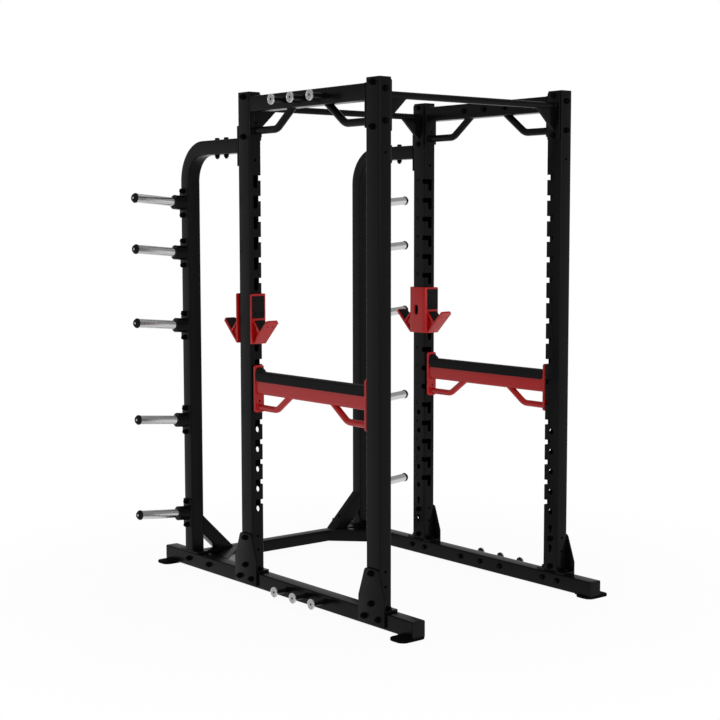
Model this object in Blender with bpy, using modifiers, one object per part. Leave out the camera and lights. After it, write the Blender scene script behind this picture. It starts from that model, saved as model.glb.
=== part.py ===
"""Power rack with plate storage behind it, two J-cups and two safety arms.

Metres, +Z up. The rack stands on z = 0, its front faces -Y and x = 0 is its middle.
Every piece is drawn on the right, at +X, and its left copy is the mirror image.
"""
import math

import bmesh
import bpy
from mathutils import Matrix, Vector

# Clearance between pieces that touch, and the overlap of pieces that are welded into one
GAP = 0.0003
WELD = 0.001
# How far a cutter reaches past the face that it cuts, and the distance at which points merge
PAST = 0.004
MERGE = 0.00001

# Uprights: section, places and the height of their tops
UPRIGHT_WIDTH = 0.070
UPRIGHT_DEPTH = 0.094
UPRIGHT_WALL = 0.0035
UPRIGHT_X = 0.569
REAR_Y = 0.2456
FRONT_Y = -0.7417
RACK_TOP = 2.447
CAP_THICKNESS = 0.004
CAP_INSET = 0.0006

# L-shaped slots: a mouth open to the inner side and a drop that ends in a round seat
SLOT_COUNT = 17
SLOT_PITCH = 0.100
FIRST_SLOT_Z = 0.433
MOUTH_HEIGHT = 0.025
NOTCH_DEPTH = 0.024
DROP_WIDTH = 0.024
DROP_DEPTH = 0.050
STUD_RADIUS = 0.011
STUD_REACH = 0.020
SEAT_CLEARANCE = 0.0005

# Round holes and keyholes in the inner faces, under the slots
ROUND_HOLE_RADIUS = 0.014
ROUND_HOLE_COUNT = 5
FIRST_ROUND_HOLE_Z = 0.390
KEYHOLE_TOPS = (0.225, 0.324)
KEYHOLE_HEIGHT = 0.040
KEYHOLE_RADIUS = 0.012
KEYHOLE_SLOT_WIDTH = 0.013
KEYHOLE_STEPS = 6

# Base rails, their feet and the plates under the posts
RAIL_X = 0.568
RAIL_WIDTH = 0.072
RAIL_BOTTOM = 0.010
RAIL_TOP = 0.085
RAIL_END_Y = 1.0135
TUBE_WALL = 0.0035
TUBE_CORNER = 0.005
FOOT_INNER_X = 0.520
FOOT_OUTER_X = 0.668
FOOT_INNER_Y = 0.915
FOOT_OUTER_Y = 1.018
FOOT_THICKNESS = 0.011
FOOT_CORNER = 0.035
FOOT_STEPS = 3
BASE_PLATE_THICKNESS = 0.011
UPRIGHT_PLATE_HALF = 0.092
STORAGE_PLATE_HALF = 0.086
DRAIN_RADIUS = 0.006

# Gusset plates on the outer side of each upright's foot
GUSSET_THICKNESS = 0.010
GUSSET_BOTTOM = 0.020
GUSSET_SHOULDER = 0.142
GUSSET_TOP = 0.275
GUSSET_TOP_HALF = 0.046
GUSSET_RADII = (0.004, 0.030, 0.020)
GUSSET_BOLT_HEIGHTS = (0.254, 0.116)
GUSSET_LOW_BOLT_Z = 0.052
GUSSET_LOW_BOLT_OFFSET = 0.050

# Storage posts: bent tubes that rise behind the rails and reach forward to the rear uprights
STORAGE_Y = 0.785
STORAGE_WIDTH = 0.072
STORAGE_BEND_RADIUS = 0.164
STORAGE_ARM_Z = 2.192
STORAGE_ARM_FRONT = 0.304
BEND_STEPS = 8
BRACKET_THICKNESS = 0.009
BRACKET_BOTTOM = 2.092
BRACKET_TOP = 2.287
BRACKET_BOLT_HEIGHTS = (2.257, 2.119)
STUB_WIDTH = 0.062
STUB_WALL = 0.003
STUB_END = 0.570
ARM_BOLTS_Y = (0.449, 0.530)

# Plate horns on the outer side of the storage posts
HORN_HEIGHTS = (0.295, 0.7885, 1.284, 1.6595, 1.917)
HORN_TILT = math.radians(4.8)
HORN_PLATE_THICKNESS = 0.008
HORN_PLATE_HEIGHT = 0.150
HORN_BOLT_OFFSET = 0.062
COLLAR_RADIUS = 0.035
COLLAR_LENGTH = 0.056
COLLAR_ROOT = 0.005
COLLAR_CHAMFER = 0.0035
COLLAR_BORE_START = 0.016
SLEEVE_RADIUS = 0.0225
SLEEVE_WALL = 0.003
SLEEVE_END = 0.275
HORN_CAP_RADIUS = 0.025
HORN_CAP_END = 0.300
HORN_CAP_BEVEL = (0.006, 0.008)
ROUND_SIDES = 10

# Rear cross member with its diagonal struts, and the braces above it
CROSS_FRONT = 0.751
CROSS_REAR = 0.815
CROSS_BOTTOM = 0.023
STRUT_INNER_SUM = 1.055
STRUT_OUTER_SUM = 1.157
STRUT_BOLT_Y = 0.593
BRACE_UPPER_Z = 0.276
BRACE_LOWER_Z = 0.177
BRACE_WIDTH = 0.070

# Top beams with their lower grab handles
BEAM_BOTTOM = 2.349
BEAM_TOP = 2.424
BEAM_PLATE_THICKNESS = 0.009
BEAM_PLATE_BOTTOM = 2.229
BEAM_BOLT_HEIGHTS = (2.396, 2.257)
BEAM_HOLE_Z = 2.298
BEAM_HOLE_RADIUS = 0.006
TOP_HANDLE_RADIUS = 0.018
TOP_HANDLE_Z = 2.259
TOP_HANDLE_STRAIGHT = 0.175
TOP_HANDLE_REACH = 0.296
TOP_HANDLE_BEND = 0.050
HANDLE_STEPS = 4
HANDLE_ROOT = 0.003

# Pull-up bars across the rack
BAR_RADIUS = 0.016
BAR_Z = 2.374
BAR_PLATE_THICKNESS = 0.008
BAR_PLATE_HALF = 0.040
BAR_PLATE_BOTTOM = 2.214
BAR_PLATE_TOP = 2.437
BAR_BOLT_HEIGHTS = (2.232, 2.424)
BAR_GUSSET_THICKNESS = 0.020
BAR_GUSSET_LOW_Z = 2.255
BAR_GUSSET_X = 0.417

# Band pegs
PEG_RADIUS = 0.0125
PEG_HEAD_RADIUS = 0.025
PEG_HEAD_THICKNESS = 0.008
PEG_CHAMFER = 0.002
TOP_PEG_REACH = 0.086
TOP_PEG_Z = 2.387
TOP_PEGS_Y = (-0.101, -0.249, -0.397)
BASE_PEG_REACH = 0.083
BASE_PEG_Z = 0.052
BASE_PEGS_Y = (-0.094, -0.242, -0.387)
PEG_SIDES = 8

# J-cups
CUP_SLOT = 9
CUP_STEEL = 0.010
CUP_INNER_X = 0.518
CUP_OUTER_X = 0.612
CUP_FRONT_Y = 0.1798
CUP_BOTTOM = 1.2235
CUP_TOP = 1.4685
CUP_BEND = 0.0196
CUP_CORNER = 0.009
CUP_HOLE = (0.2356, 0.2656, 1.319, 1.3745)
CUP_HOLE_CORNER = 0.014
HOOK_WIDTH = 0.073
WEB_HOOK_X = 0.526
HOOK_TIP = (0.065, 1.3355)
HOOK_FOOT_Z = 1.224
HOOK_STEEL = 0.010
LIP_CHAMFER = 0.010
SEAT_HIGH_Z = 1.331
SEAT_LOW = (0.130, 1.278)
SEAT_STEEL = 0.008
SEAT_BITE = 0.3
HOOK_RIB = 0.006
RIB_INSET = 0.009
LINER_THICKNESS = 0.006
LINER_INSET = 0.009
LINER_SETBACK = (0.03, 0.06)
WEAR_MARGIN = 0.0005
WEAR_SPAN_X = (0.536, 0.590)
WEAR_END = 0.015
PAD_THICKNESS = 0.005
PAD_CORNER = 0.004
PAD_SPAN_X = (0.536, 0.608)
PAD_SPAN_Z = (1.350, 1.4585)
VENT = (0.564, 1.262)
VENT_REACH = 0.022
VENT_RADIUS = 0.004

# Safety arms
ARM_SLOT = 6
ARM_PLATE_THICKNESS = 0.0145
ARM_PLATE_SPACE = 0.0085
ARM_PLATE_WIDTH = 0.054
ARM_PLATE_BOTTOM = 0.8855
ARM_PLATE_TOP = 1.1185
ARM_PLATE_CORNER = 0.010
ARM_HOLE_Z = 0.942
ARM_HOLE_RADIUS = 0.005
ARM_SPACER_BOTTOM = 0.954
ARM_SPACER_MARGIN = 0.004
ARM_TUBE_WIDTH = 0.040
ARM_TUBE_BOTTOM = 0.9765
ARM_TUBE_TOP = 1.082
ARM_TUBE_CORNER = 0.012
ARM_TUBE_WALL = 0.003
ARM_HANDLE_RADIUS = 0.0155
ARM_HANDLE_Z = 0.910
ARM_HANDLE_STRAIGHT = 0.150
ARM_HANDLE_REACH = 0.245
ARM_HANDLE_BEND = 0.045
ARM_LINER_WIDTH = 0.054
ARM_LINER_BOTTOM = 1.041
ARM_LINER_TOP = 1.088
ARM_LINER_RADII = (0.011, 0.012)
ARM_LINER_CHAMFER = 0.015
ARM_STOP_TOP = 1.109
ARM_STOP_LENGTH = 0.050
ARM_STOP_LEVEL = 0.020
ARM_STOP_ROOT = 0.004
ARM_STOP_HALF = 0.0225
ARM_STOP_ARCH = 0.0215

# Bolt heads
HEAD_RADIUS = 0.011
HEAD_HEIGHT = 0.012

# The sharpest edge that is still shaded smooth
SMOOTH_ANGLE = math.radians(35)

COATED_BLACK = ("coated_black", (0.014, 0.014, 0.014, 1.0), 0.42, 0.0)
COATED_RED = ("coated_red", (0.38, 0.045, 0.045, 1.0), 0.40, 0.0)
BLACK_PLASTIC = ("black_plastic", (0.010, 0.010, 0.010, 1.0), 0.55, 0.0)
CHROME = ("chrome", (0.62, 0.62, 0.63, 1.0), 0.16, 1.0)

# Directions of an outline's two coordinates and of its thickness, for each axis
AXES = {
    "x": Matrix(((0, 0, 1), (1, 0, 0), (0, 1, 0))).to_4x4(),
    "y": Matrix(((1, 0, 0), (0, 0, -1), (0, 1, 0))).to_4x4(),
    "z": Matrix.Identity(4),
}
ALONG = {"x": Vector((1, 0, 0)), "y": Vector((0, 1, 0)), "z": Vector((0, 0, 1))}


def clear_scene():
    """Remove whatever the file holds."""
    for thing in list(bpy.data.objects):
        bpy.data.objects.remove(thing, do_unlink=True)
    for group in list(bpy.data.collections):
        bpy.data.collections.remove(group)


def evaluated(data, modify=None):
    """Return the mesh that data gives on a passing object, after its modifiers."""
    carrier = bpy.data.objects.new("carrier", data)
    bpy.context.scene.collection.objects.link(carrier)
    if modify:
        modify(carrier)
    graph = bpy.context.evaluated_depsgraph_get()
    mesh = bpy.data.meshes.new_from_object(carrier.evaluated_get(graph))
    bpy.data.objects.remove(carrier)
    return mesh


def closed(mesh):
    """Weld loose caps to their sides and turn every face outward."""
    shape = bmesh.new()
    shape.from_mesh(mesh)
    bmesh.ops.remove_doubles(shape, verts=shape.verts, dist=MERGE)
    bmesh.ops.recalc_face_normals(shape, faces=shape.faces)
    shape.to_mesh(mesh)
    shape.free()
    return mesh


def slab(loops, span, axis):
    """Extrude a flat outline, and the holes after it, over a span along an axis."""
    curve = bpy.data.curves.new("outline", "CURVE")
    curve.dimensions = "2D"
    curve.fill_mode = "BOTH"
    low, high = sorted(span)
    curve.extrude = (high - low) / 2
    for loop in loops:
        spline = curve.splines.new("POLY")
        spline.points.add(len(loop) - 1)
        for point, (u, v) in zip(spline.points, loop):
            point.co = (u, v, 0.0, 1.0)
        spline.use_cyclic_u = True
    mesh = closed(evaluated(curve))
    mesh.transform(Matrix.Translation(ALONG[axis] * (low + high) / 2) @ AXES[axis])
    return mesh


def box(x, y, z):
    """Return a box over three spans."""
    spans = [sorted(span) for span in (x, y, z)]
    middle = Vector([sum(span) / 2 for span in spans])
    size = Vector([high - low for low, high in spans])
    shape = bmesh.new()
    matrix = Matrix.Translation(middle) @ Matrix.Diagonal(size).to_4x4()
    bmesh.ops.create_cube(shape, size=1.0, matrix=matrix)
    return finished(shape)


def rod(start, end, radius, sides=ROUND_SIDES):
    """Return a round bar between two points."""
    start, end = Vector(start), Vector(end)
    axis = end - start
    turn = axis.to_track_quat("Z", "Y").to_matrix().to_4x4()
    shape = bmesh.new()
    bmesh.ops.create_cone(
        shape, cap_ends=True, segments=sides, radius1=radius, radius2=radius,
        depth=axis.length, matrix=Matrix.Translation((start + end) / 2) @ turn,
    )
    return finished(shape)


def finished(shape):
    """Turn a bmesh into a mesh."""
    mesh = bpy.data.meshes.new("piece")
    shape.to_mesh(mesh)
    shape.free()
    return mesh


def turned(profile, matrix, sides=ROUND_SIDES):
    """Turn a profile of (radius, height), listed from the top down, about an axis."""
    mesh = bpy.data.meshes.new("profile")
    points = [(radius, 0.0, height) for radius, height in profile]
    edges = [(index, index + 1) for index in range(len(points) - 1)]
    mesh.from_pydata(points, edges, [])

    def add_screw(carrier):
        screw = carrier.modifiers.new("turn", "SCREW")
        screw.steps = sides
        screw.render_steps = sides
        screw.use_merge_vertices = True
        screw.merge_threshold = MERGE

    piece = closed(evaluated(mesh, add_screw))
    piece.transform(matrix)
    return piece


def bent_bar(path, radius, bevel_resolution=2):
    """Return a round bar along a path in space."""
    curve = bpy.data.curves.new("bar", "CURVE")
    curve.dimensions = "3D"
    curve.bevel_depth = radius
    curve.bevel_resolution = bevel_resolution
    curve.use_fill_caps = True
    spline = curve.splines.new("POLY")
    spline.points.add(len(path) - 1)
    for point, place_in_space in zip(spline.points, path):
        point.co = (*place_in_space, 1.0)
    return closed(evaluated(curve))


def joined(meshes):
    """Put separate shapes into one mesh."""
    shape = bmesh.new()
    for mesh in meshes:
        shape.from_mesh(mesh)
    return finished(shape)


def combined(base, tool, operation):
    """Return the Boolean of two meshes."""
    cutter = bpy.data.objects.new("cutter", tool)
    bpy.context.scene.collection.objects.link(cutter)

    def add_boolean(carrier):
        modifier = carrier.modifiers.new("combine", "BOOLEAN")
        modifier.operation = operation
        modifier.solver = "EXACT"
        modifier.object = cutter

    mesh = evaluated(base, add_boolean)
    bpy.data.objects.remove(cutter)
    return mesh


def welded(base, *others):
    """Join shapes that overlap into one body."""
    for other in others:
        base = combined(base, other, "UNION")
    return base


def cut(base, *tools):
    """Cut tools that don't touch each other out of a shape."""
    return combined(base, joined(tools), "DIFFERENCE")


def moved(mesh, offset):
    """Return a copy of a mesh, moved."""
    copy = mesh.copy()
    copy.transform(Matrix.Translation(offset))
    return copy


def mirrored(mesh, axis, middle=0.0):
    """Return the mirror image of a mesh across a plane square to an axis."""
    copy = mesh.copy()
    normal = ALONG[axis]
    copy.transform(Matrix.Translation(normal * 2 * middle) @ Matrix.Scale(-1, 4, normal))
    copy.flip_normals()
    return copy


def rounded(corners, steps=2, ring=True):
    """Return the points of an outline or path whose corners (u, v, radius) are arcs."""
    points = []
    for index, (u, v, radius) in enumerate(corners):
        corner = Vector((u, v))
        at_end = not ring and index in (0, len(corners) - 1)
        if radius == 0 or at_end:
            points.append(corner)
            continue
        before = (Vector(corners[index - 1][:2]) - corner).normalized()
        after = (Vector(corners[(index + 1) % len(corners)][:2]) - corner).normalized()
        half = before.angle(after) / 2
        centre = corner + (before + after).normalized() * radius / math.sin(half)
        first = corner + before * radius / math.tan(half) - centre
        last = corner + after * radius / math.tan(half) - centre
        start = math.atan2(first.y, first.x)
        sweep = (math.atan2(last.y, last.x) - start + math.pi) % math.tau - math.pi
        for step in range(steps + 1):
            angle = start + sweep * step / steps
            points.append(centre + radius * Vector((math.cos(angle), math.sin(angle))))
    return points


def rectangle(u, v, radius=0.0, steps=1):
    """Return a rectangle's outline over two spans, with rounded corners."""
    (u0, u1), (v0, v1) = sorted(u), sorted(v)
    corners = [(u0, v0, radius), (u1, v0, radius), (u1, v1, radius), (u0, v1, radius)]
    return rounded(corners, steps)


def circle(u, v, radius, sides=ROUND_SIDES):
    """Return a circle's outline."""
    angles = [math.tau * (index + 0.5) / sides for index in range(sides)]
    return [(u + radius * math.cos(angle), v + radius * math.sin(angle)) for angle in angles]


def around(middle, width):
    """Return the span of a width about its middle."""
    return middle - width / 2, middle + width / 2


def shrunk(span, margin):
    """Return a span drawn in at both ends."""
    return span[0] + margin, span[1] - margin


def with_heads(mesh, places, direction):
    """Weld hexagon bolt heads onto a face, at places on that face."""
    heads = []
    for place in places:
        foot = Vector(place) - direction * WELD
        heads.append(rod(foot, foot + direction * (HEAD_HEIGHT + WELD), HEAD_RADIUS, sides=6))
    return welded(mesh, joined(heads))


def slot_cutter(face_y, side):
    """Return the cutter of one L-shaped slot, with its mouth centred on z = 0."""
    inner_x = UPRIGHT_X - UPRIGHT_WIDTH / 2
    outside = inner_x - PAST
    half_mouth = MOUTH_HEIGHT / 2
    radius = DROP_WIDTH / 2
    facet = radius * math.tan(math.pi / 8)
    left, right = UPRIGHT_X - radius, UPRIGHT_X + radius
    bend_z = radius - DROP_DEPTH - facet
    outline = [
        (outside, half_mouth), (right, half_mouth), (right, bend_z),
        (UPRIGHT_X + facet, -DROP_DEPTH), (UPRIGHT_X - facet, -DROP_DEPTH),
        (left, bend_z), (left, -half_mouth), (outside, -half_mouth),
    ]
    past = face_y + side * PAST
    front = slab([outline], (past, face_y - side * (UPRIGHT_WALL + WELD)), "y")
    notch = box(
        (outside, inner_x + UPRIGHT_WALL + WELD),
        (past, face_y - side * NOTCH_DEPTH),
        (-half_mouth, half_mouth),
    )
    return welded(front, notch)


def keyhole(middle_y, top):
    """Return the outline of a keyhole: a circle with a slot below it."""
    centre_z = top - KEYHOLE_RADIUS
    half = KEYHOLE_SLOT_WIDTH / 2
    opening = math.asin(half / KEYHOLE_RADIUS)
    start = -math.pi / 2 + opening
    sweep = math.tau - 2 * opening
    points = []
    for step in range(KEYHOLE_STEPS + 1):
        angle = start + sweep * step / KEYHOLE_STEPS
        points.append((
            middle_y + KEYHOLE_RADIUS * math.cos(angle),
            centre_z + KEYHOLE_RADIUS * math.sin(angle),
        ))
    low = top - KEYHOLE_HEIGHT
    return points + [(middle_y - half, low), (middle_y + half, low)]


def upright(middle_y, side, outer_bolts):
    """Return an upright whose slots are in its face towards side, -1 front or 1 rear."""
    span_x = around(UPRIGHT_X, UPRIGHT_WIDTH)
    span_y = around(middle_y, UPRIGHT_DEPTH)
    foot = RAIL_TOP + GAP
    outer = rectangle(span_x, span_y, TUBE_CORNER)
    hollow = rectangle(shrunk(span_x, UPRIGHT_WALL), shrunk(span_y, UPRIGHT_WALL))
    tube = slab([outer, hollow], (foot, RACK_TOP - CAP_THICKNESS + WELD), "z")
    cap_outline = rectangle(shrunk(span_x, CAP_INSET), shrunk(span_y, CAP_INSET), TUBE_CORNER)
    cap = slab([cap_outline], (RACK_TOP - CAP_THICKNESS, RACK_TOP), "z")
    plate_y = around(middle_y, 2 * UPRIGHT_PLATE_HALF)
    plate = box(span_x, plate_y, (foot, foot + BASE_PLATE_THICKNESS))
    face_y = middle_y + side * UPRIGHT_DEPTH / 2
    slot = slot_cutter(face_y, side)
    cutters = []
    for index in range(SLOT_COUNT):
        cutters.append(moved(slot, (0, 0, FIRST_SLOT_Z + index * SLOT_PITCH)))
    through_wall = (span_x[0] - PAST, span_x[0] + UPRIGHT_WALL + WELD)
    for index in range(ROUND_HOLE_COUNT):
        hole_z = FIRST_ROUND_HOLE_Z + index * SLOT_PITCH
        hole = circle(middle_y, hole_z, ROUND_HOLE_RADIUS, 8)
        cutters.append(slab([hole], through_wall, "x"))
    for top in KEYHOLE_TOPS:
        cutters.append(slab([keyhole(middle_y, top)], through_wall, "x"))
    post = cut(welded(tube, cap, plate), *cutters)
    outer_y = middle_y - side * UPRIGHT_DEPTH / 2
    post = with_heads(post, [(UPRIGHT_X, outer_y, z) for z in outer_bolts], Vector((0, -side, 0)))
    post = with_heads(post, [(span_x[1], middle_y, z) for z in BAR_BOLT_HEIGHTS], ALONG["x"])
    plate_top = foot + BASE_PLATE_THICKNESS
    reach = (UPRIGHT_PLATE_HALF + UPRIGHT_DEPTH / 2) / 2
    feet = [(UPRIGHT_X, middle_y + offset, plate_top) for offset in (-reach, reach)]
    return with_heads(post, feet, ALONG["z"])


def base_rail():
    """Return a base rail with its end caps, feet and the bolts of the rear cross member."""
    span_x = around(RAIL_X, RAIL_WIDTH)
    span_z = (RAIL_BOTTOM, RAIL_TOP)
    outer = rectangle(span_x, span_z, TUBE_CORNER)
    hollow = rectangle(shrunk(span_x, TUBE_WALL), shrunk(span_z, TUBE_WALL))
    cap_outline = rectangle(shrunk(span_x, CAP_INSET), shrunk(span_z, CAP_INSET), TUBE_CORNER)
    cap_start = RAIL_END_Y - CAP_THICKNESS
    rail = slab([outer, hollow], (-cap_start - WELD, cap_start + WELD), "y")
    for end in (-1, 1):
        cap = slab([cap_outline], (end * cap_start, end * RAIL_END_Y), "y")
        foot_outline = rectangle(
            (FOOT_INNER_X, FOOT_OUTER_X), (end * FOOT_INNER_Y, end * FOOT_OUTER_Y),
            FOOT_CORNER, FOOT_STEPS,
        )
        rail = welded(rail, cap, slab([foot_outline], (0, FOOT_THICKNESS), "z"))
    drains = []
    for drain_y in (-FOOT_INNER_Y / 2, FOOT_INNER_Y / 2):
        low, high = RAIL_BOTTOM - WELD, RAIL_BOTTOM + TUBE_WALL + WELD
        drains.append(rod((RAIL_X, drain_y, low), (RAIL_X, drain_y, high), DRAIN_RADIUS, 8))
    rail = cut(rail, *drains)
    cross_middle = (CROSS_FRONT + CROSS_REAR) / 2
    heads = [(span_x[1], y, GUSSET_LOW_BOLT_Z) for y in (cross_middle, STRUT_BOLT_Y)]
    return with_heads(rail, heads, ALONG["x"])


def gusset_plate(middle_y):
    """Return the bolted plate that ties an upright's foot to its rail."""
    half, top_half = UPRIGHT_PLATE_HALF, GUSSET_TOP_HALF
    foot, shoulder, top = GUSSET_RADII
    corners = [
        (middle_y - half, GUSSET_BOTTOM, foot), (middle_y + half, GUSSET_BOTTOM, foot),
        (middle_y + half, GUSSET_SHOULDER, shoulder), (middle_y + top_half, GUSSET_TOP, top),
        (middle_y - top_half, GUSSET_TOP, top), (middle_y - half, GUSSET_SHOULDER, shoulder),
    ]
    inner = UPRIGHT_X + UPRIGHT_WIDTH / 2 + GAP
    outer = inner + GUSSET_THICKNESS
    plate = slab([rounded(corners)], (inner, outer), "x")
    heads = [(outer, middle_y, z) for z in GUSSET_BOLT_HEIGHTS]
    for offset in (-GUSSET_LOW_BOLT_OFFSET, GUSSET_LOW_BOLT_OFFSET):
        heads.append((outer, middle_y + offset, GUSSET_LOW_BOLT_Z))
    return with_heads(plate, heads, ALONG["x"])


def storage_path(extra):
    """Return the storage post's middle line, drawn on past both its ends by extra."""
    foot = RAIL_TOP + 2 * GAP + BASE_PLATE_THICKNESS
    corners = [
        (STORAGE_Y, foot - extra, 0), (STORAGE_Y, STORAGE_ARM_Z, STORAGE_BEND_RADIUS),
        (STORAGE_ARM_FRONT - extra, STORAGE_ARM_Z, 0),
    ]
    return [(RAIL_X, y, z) for y, z in rounded(corners, BEND_STEPS, ring=False)]


def swept_square(path, width, corner):
    """Sweep a square section with rounded corners along a path that stays in one x plane."""
    section = bpy.data.curves.new("section", "CURVE")
    section.dimensions = "2D"
    spline = section.splines.new("POLY")
    loop = rectangle((-width / 2, width / 2), (-width / 2, width / 2), corner, 1)
    spline.points.add(len(loop) - 1)
    for point, (u, v) in zip(spline.points, loop):
        point.co = (u, v, 0.0, 1.0)
    spline.use_cyclic_u = True
    shape = bpy.data.objects.new("section", section)
    bpy.context.scene.collection.objects.link(shape)
    curve = bpy.data.curves.new("path", "CURVE")
    curve.dimensions = "3D"
    curve.bevel_mode = "OBJECT"
    curve.bevel_object = shape
    curve.use_fill_caps = True
    line = curve.splines.new("POLY")
    line.points.add(len(path) - 1)
    for point, place_in_space in zip(line.points, path):
        point.co = (*place_in_space, 1.0)
    mesh = closed(evaluated(curve))
    bpy.data.objects.remove(shape)
    return mesh


def horn_matrix(height):
    """Return the frame of a horn: its Z axis leaves the bracket plate, tilted up."""
    face = RAIL_X + RAIL_WIDTH / 2 + HORN_PLATE_THICKNESS
    lean = Matrix.Rotation(math.pi / 2 - HORN_TILT, 4, "Y")
    return Matrix.Translation((face, STORAGE_Y, height)) @ lean


def horn_bracket(height):
    """Return a horn's plate with its welded collar."""
    face = RAIL_X + RAIL_WIDTH / 2
    plate = box(
        (face - WELD, face + HORN_PLATE_THICKNESS), around(STORAGE_Y, STORAGE_WIDTH),
        around(height, HORN_PLATE_HEIGHT),
    )
    matrix = horn_matrix(height)
    rim, radius = COLLAR_LENGTH - COLLAR_CHAMFER, COLLAR_RADIUS
    solid = [
        (0, COLLAR_LENGTH), (radius - COLLAR_CHAMFER, COLLAR_LENGTH), (radius, rim),
        (radius, -COLLAR_ROOT), (0, -COLLAR_ROOT),
    ]
    bore_radius = SLEEVE_RADIUS + GAP / math.cos(math.pi / ROUND_SIDES)
    past = COLLAR_LENGTH + PAST
    bore = [(0, past), (bore_radius, past), (bore_radius, COLLAR_BORE_START), (0, COLLAR_BORE_START)]
    return cut(welded(plate, turned(solid, matrix)), turned(bore, matrix))


def storage_post():
    """Return a storage post with its five horn brackets and their bolts."""
    post = swept_square(storage_path(0), STORAGE_WIDTH, TUBE_CORNER)
    hollow = swept_square(storage_path(PAST), STORAGE_WIDTH - 2 * TUBE_WALL, 0)
    post = welded(cut(post, hollow), *[horn_bracket(height) for height in HORN_HEIGHTS])
    face = RAIL_X + RAIL_WIDTH / 2 + HORN_PLATE_THICKNESS
    heads = []
    for height in HORN_HEIGHTS:
        for offset in (-HORN_BOLT_OFFSET, HORN_BOLT_OFFSET):
            heads.append((face, STORAGE_Y, height + offset))
    post = with_heads(post, heads, ALONG["x"])
    top = STORAGE_ARM_Z + STORAGE_WIDTH / 2
    bottom = STORAGE_ARM_Z - STORAGE_WIDTH / 2
    post = with_heads(post, [(RAIL_X, y, top) for y in ARM_BOLTS_Y], ALONG["z"])
    return with_heads(post, [(RAIL_X, y, bottom) for y in ARM_BOLTS_Y], -ALONG["z"])


def storage_foot():
    """Return the plate under a storage post, bolted to the rail before and behind it."""
    foot = RAIL_TOP + GAP
    top = foot + BASE_PLATE_THICKNESS
    plate = box(
        around(RAIL_X, STORAGE_WIDTH), around(STORAGE_Y, 2 * STORAGE_PLATE_HALF), (foot, top)
    )
    reach = (STORAGE_PLATE_HALF + STORAGE_WIDTH / 2) / 2
    heads = [(RAIL_X, STORAGE_Y + offset, top) for offset in (-reach, reach)]
    return with_heads(plate, heads, ALONG["z"])


def horn_sleeve(height):
    """Return a horn's tube with its end cap; the open end sits in the collar."""
    inner = SLEEVE_RADIUS - SLEEVE_WALL
    start = COLLAR_BORE_START + GAP
    inward, back = HORN_CAP_BEVEL
    profile = [
        (0, HORN_CAP_END), (HORN_CAP_RADIUS - inward, HORN_CAP_END),
        (HORN_CAP_RADIUS, HORN_CAP_END - back), (HORN_CAP_RADIUS, SLEEVE_END),
        (SLEEVE_RADIUS, SLEEVE_END), (SLEEVE_RADIUS, start), (inner, start),
        (inner, SLEEVE_END), (0, SLEEVE_END),
    ]
    return turned(profile, horn_matrix(height))


def storage_bracket():
    """Return the plate on a rear upright, with the stub that fills the storage arm's end."""
    start = REAR_Y + UPRIGHT_DEPTH / 2 + GAP
    end = start + BRACKET_THICKNESS
    plate = box(around(UPRIGHT_X, UPRIGHT_WIDTH), (start, end), (BRACKET_BOTTOM, BRACKET_TOP))
    span_x, span_z = around(RAIL_X, STUB_WIDTH), around(STORAGE_ARM_Z, STUB_WIDTH)
    outer = rectangle(span_x, span_z)
    hollow = rectangle(shrunk(span_x, STUB_WALL), shrunk(span_z, STUB_WALL))
    stub = slab([outer, hollow], (end - WELD, STUB_END), "y")
    heads = [(UPRIGHT_X, end, z) for z in BRACKET_BOLT_HEIGHTS]
    return with_heads(welded(plate, stub), heads, ALONG["y"])


def strut_outline(margin, end_x, start_y):
    """Return a strut's outline on the floor plan, drawn in by a margin on both sides."""
    slant = margin * math.sqrt(2)
    inner, outer = STRUT_INNER_SUM + slant, STRUT_OUTER_SUM - slant
    return [
        (inner - start_y, start_y), (end_x, inner - end_x),
        (end_x, outer - end_x), (outer - start_y, start_y),
    ]


def rear_cross_member():
    """Return the tube between the rails' rear ends, with a diagonal strut to each rail."""
    end_x = RAIL_X - RAIL_WIDTH / 2 - GAP
    span_y = (CROSS_FRONT, CROSS_REAR)
    span_z = (CROSS_BOTTOM, RAIL_TOP)
    frame = box((-end_x, end_x), span_y, span_z)
    strut = slab([strut_outline(0, end_x, CROSS_FRONT + WELD)], span_z, "z")
    frame = welded(frame, strut, mirrored(strut, "x"))
    hollow_z = shrunk(span_z, TUBE_WALL)
    past = end_x + PAST
    core = box((-past, past), shrunk(span_y, TUBE_WALL), hollow_z)
    inner = slab([strut_outline(TUBE_WALL, past, CROSS_FRONT + TUBE_WALL + WELD)], hollow_z, "z")
    return combined(frame, welded(core, inner, mirrored(inner, "x")), "DIFFERENCE")


def brace():
    """Return the square tube that props a storage post from the cross member, at 45 degrees."""
    end_x = RAIL_X - RAIL_WIDTH / 2 - GAP
    low = RAIL_TOP + GAP
    edge_x = RAIL_X - RAIL_WIDTH / 2

    def outline(margin, x, z):
        """Return the side view, drawn in by a margin, between an end's x and a foot's z."""
        upper = BRACE_UPPER_Z - edge_x - margin * math.sqrt(2)
        lower = BRACE_LOWER_Z - edge_x + margin * math.sqrt(2)
        return [(x, x + upper), (x, x + lower), (z - lower, z), (z - upper, z)]

    span_y = around(STORAGE_Y, BRACE_WIDTH)
    tube = slab([outline(0, end_x, low)], span_y, "y")
    hollow = slab([outline(TUBE_WALL, end_x + PAST, low - PAST)], shrunk(span_y, TUBE_WALL), "y")
    return cut(tube, hollow)


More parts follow.
